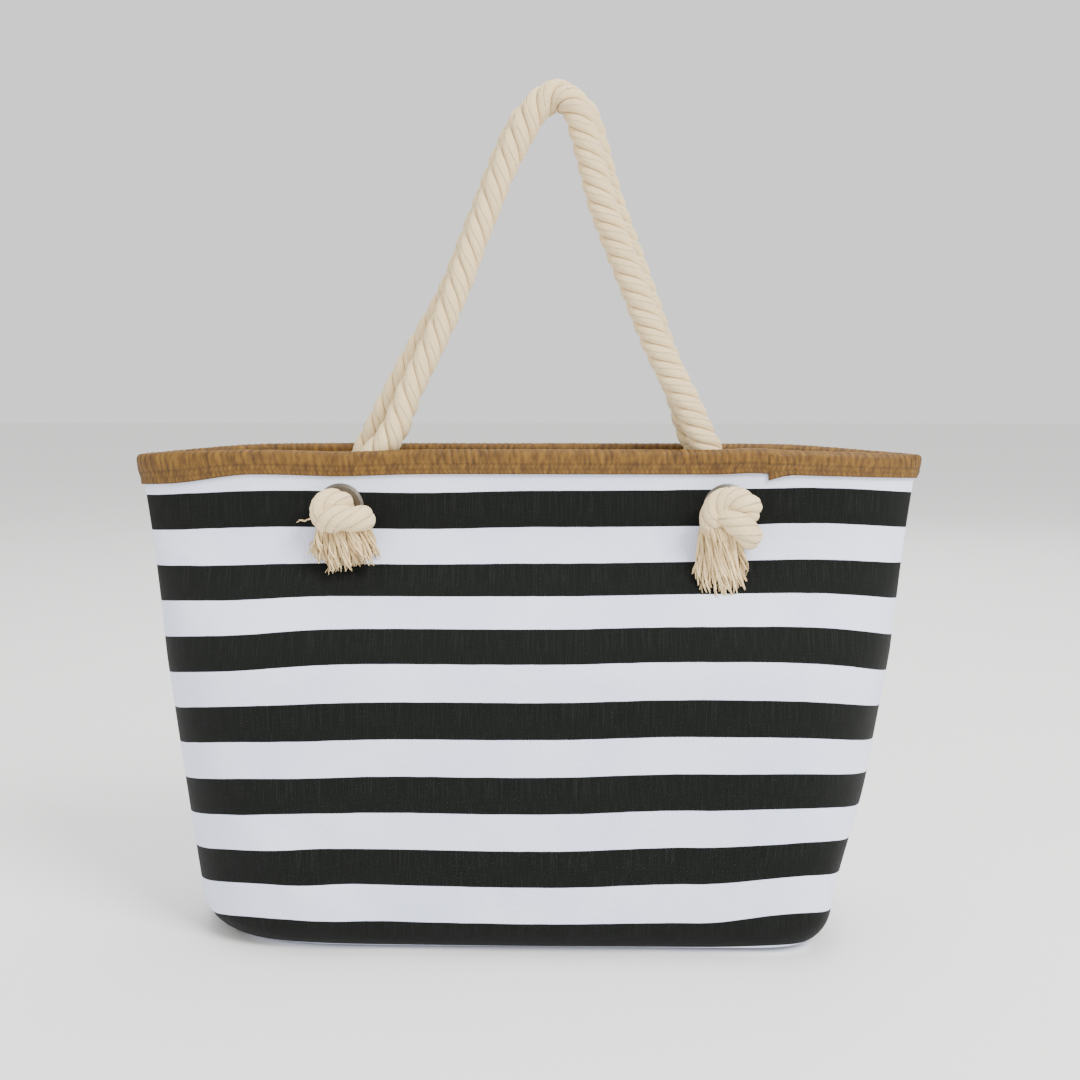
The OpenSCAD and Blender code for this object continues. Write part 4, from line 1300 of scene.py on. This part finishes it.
def zip_teeth(node, pitch):
    """Two rows of small blocks along a CAD bar that lies along x, as points and faces.

    The rows are shifted by half a pitch, so that they mesh at the bar's middle. The bar's width and thickness
    directions are the principal axes of its end's corners.
    """
    bar = node_points(node)
    start, stop = bar[:, 0].min(), bar[:, 0].max()
    end = bar[bar[:, 0] < start + CLEAR]
    middle = (end.min(axis=0) + end.max(axis=0)) / 2
    wide, thick = np.linalg.svd(end - middle)[2][:2]
    half_wide, half_thick = (np.abs((end - middle) @ axis).max() for axis in (wide, thick))
    count = int((stop - start) / (pitch / 2)) - 1
    x = start + pitch / 2 * (np.arange(count) + FIRST_TOOTH)
    row = np.where(np.arange(count) % 2, 1, -1)
    half = half_wide * TOOTH_WIDE
    centre = middle * np.array([0, 1, 1]) + (row * (half_wide - half))[:, None] * wide
    centre = centre + x[:, None] * np.array([1, 0, 0])
    block = np.array([(i, j, k) for i in (-1, 1) for j in (-1, 1) for k in (-1, 1)], float)
    reach = block @ np.array([(TOOTH_HALF * pitch, 0, 0), half * wide, half_thick * thick])
    sides = np.array([(0, 1, 3, 2), (4, 6, 7, 5), (0, 4, 5, 1), (2, 3, 7, 6), (0, 2, 6, 4), (1, 5, 7, 3)])
    faces = (sides[None] + 8 * np.arange(count)[:, None, None]).reshape(-1, 4)
    return (centre[:, None] + reach[None]).reshape(-1, 3), faces


class TOTE_OT_pocket(bpy.types.Operator):
    """Zipped pocket inside the back: panel, zip tapes, toothed chain, stops, slider and pull"""
    bl_idname = "tote.pocket"
    bl_label = "Zipped pocket"

    def execute(self, context):
        fittings = context.scene.tote_fittings
        cotton = plain_cotton(context.scene.tote_cloth, "Cotton pocket, plain-woven")
        tape = zip_tape_cloth(fittings)
        nickel = satin_nickel("Zinc zip, nickel-plated", fittings.slider, 0.25)
        for node, material, slot in (("pocket_panel", cotton, "lining_cotton"),
                                     ("pocket_zip_upper_tape", tape, "zip_tape"),
                                     ("pocket_zip_lower_tape", tape, "zip_tape")):
            points = back_patch(node)
            uv = np.stack([points[..., 0], points[..., 2]], -1)
            faces = grid_faces(*points.shape[:2])
            piece = make_piece(f"{node}_cloth", settle(points), [faces], material, "bag", uv, closed=False)
            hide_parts(node)
            solid_cloth(piece, PATCH_T)
        points, faces = zip_teeth("pocket_zip_chain", fittings.tooth)
        teeth = make_piece("pocket_zip_teeth", points, [faces], nickel, "bag")
        teeth.data.shade_flat()
        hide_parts("pocket_zip_chain")
        for node in ("pocket_zip_stops", "pocket_zip_slider", "pocket_zip_pull"):
            finish_node(node, nickel)
        return {"FINISHED"}


# ---------- Panel and registration ----------

GROUPS = {"cloth": TOTE_PG_cloth, "trim": TOTE_PG_trim, "rope": TOTE_PG_rope, "fittings": TOTE_PG_fittings,
          "stage": TOTE_PG_stage}
OPERATORS = (TOTE_OT_stage, TOTE_OT_canvas, TOTE_OT_lining, TOTE_OT_board, TOTE_OT_rim_tape, TOTE_OT_eyelets,
             TOTE_OT_snap, TOTE_OT_handles, TOTE_OT_tassels, TOTE_OT_pocket)


class TOTE_PT_pieces(bpy.types.Panel):
    """Buttons for each group of pieces, and their settings"""
    bl_idname = "TOTE_PT_pieces"
    bl_label = "Striped Beach Tote"
    bl_space_type = "VIEW_3D"
    bl_region_type = "UI"
    bl_category = "Tote"

    def draw(self, context):
        for operator in OPERATORS:
            self.layout.operator(operator.bl_idname)
        for group in GROUPS:
            settings = getattr(context.scene, f"tote_{group}")
            area = self.layout.box()
            for name in settings.__annotations__:
                area.prop(settings, name)


def register():
    """Registers the settings, the operators and the panel."""
    for name, group in GROUPS.items():
        bpy.utils.register_class(group)
        setattr(bpy.types.Scene, f"tote_{name}", bpy.props.PointerProperty(type=group))
    for operator in OPERATORS:
        bpy.utils.register_class(operator)
    bpy.utils.register_class(TOTE_PT_pieces)


def unregister():
    """Takes them out again, last first."""
    bpy.utils.unregister_class(TOTE_PT_pieces)
    for operator in reversed(OPERATORS):
        bpy.utils.unregister_class(operator)
    for name, group in reversed(GROUPS.items()):
        delattr(bpy.types.Scene, f"tote_{name}")
        bpy.utils.unregister_class(group)


def main():
    """Builds everything in order."""
    register()
    for operator in OPERATORS:
        group, step = operator.bl_idname.split(".")
        getattr(getattr(bpy.ops, group), step)()


if __name__ == "__main__":
    main()
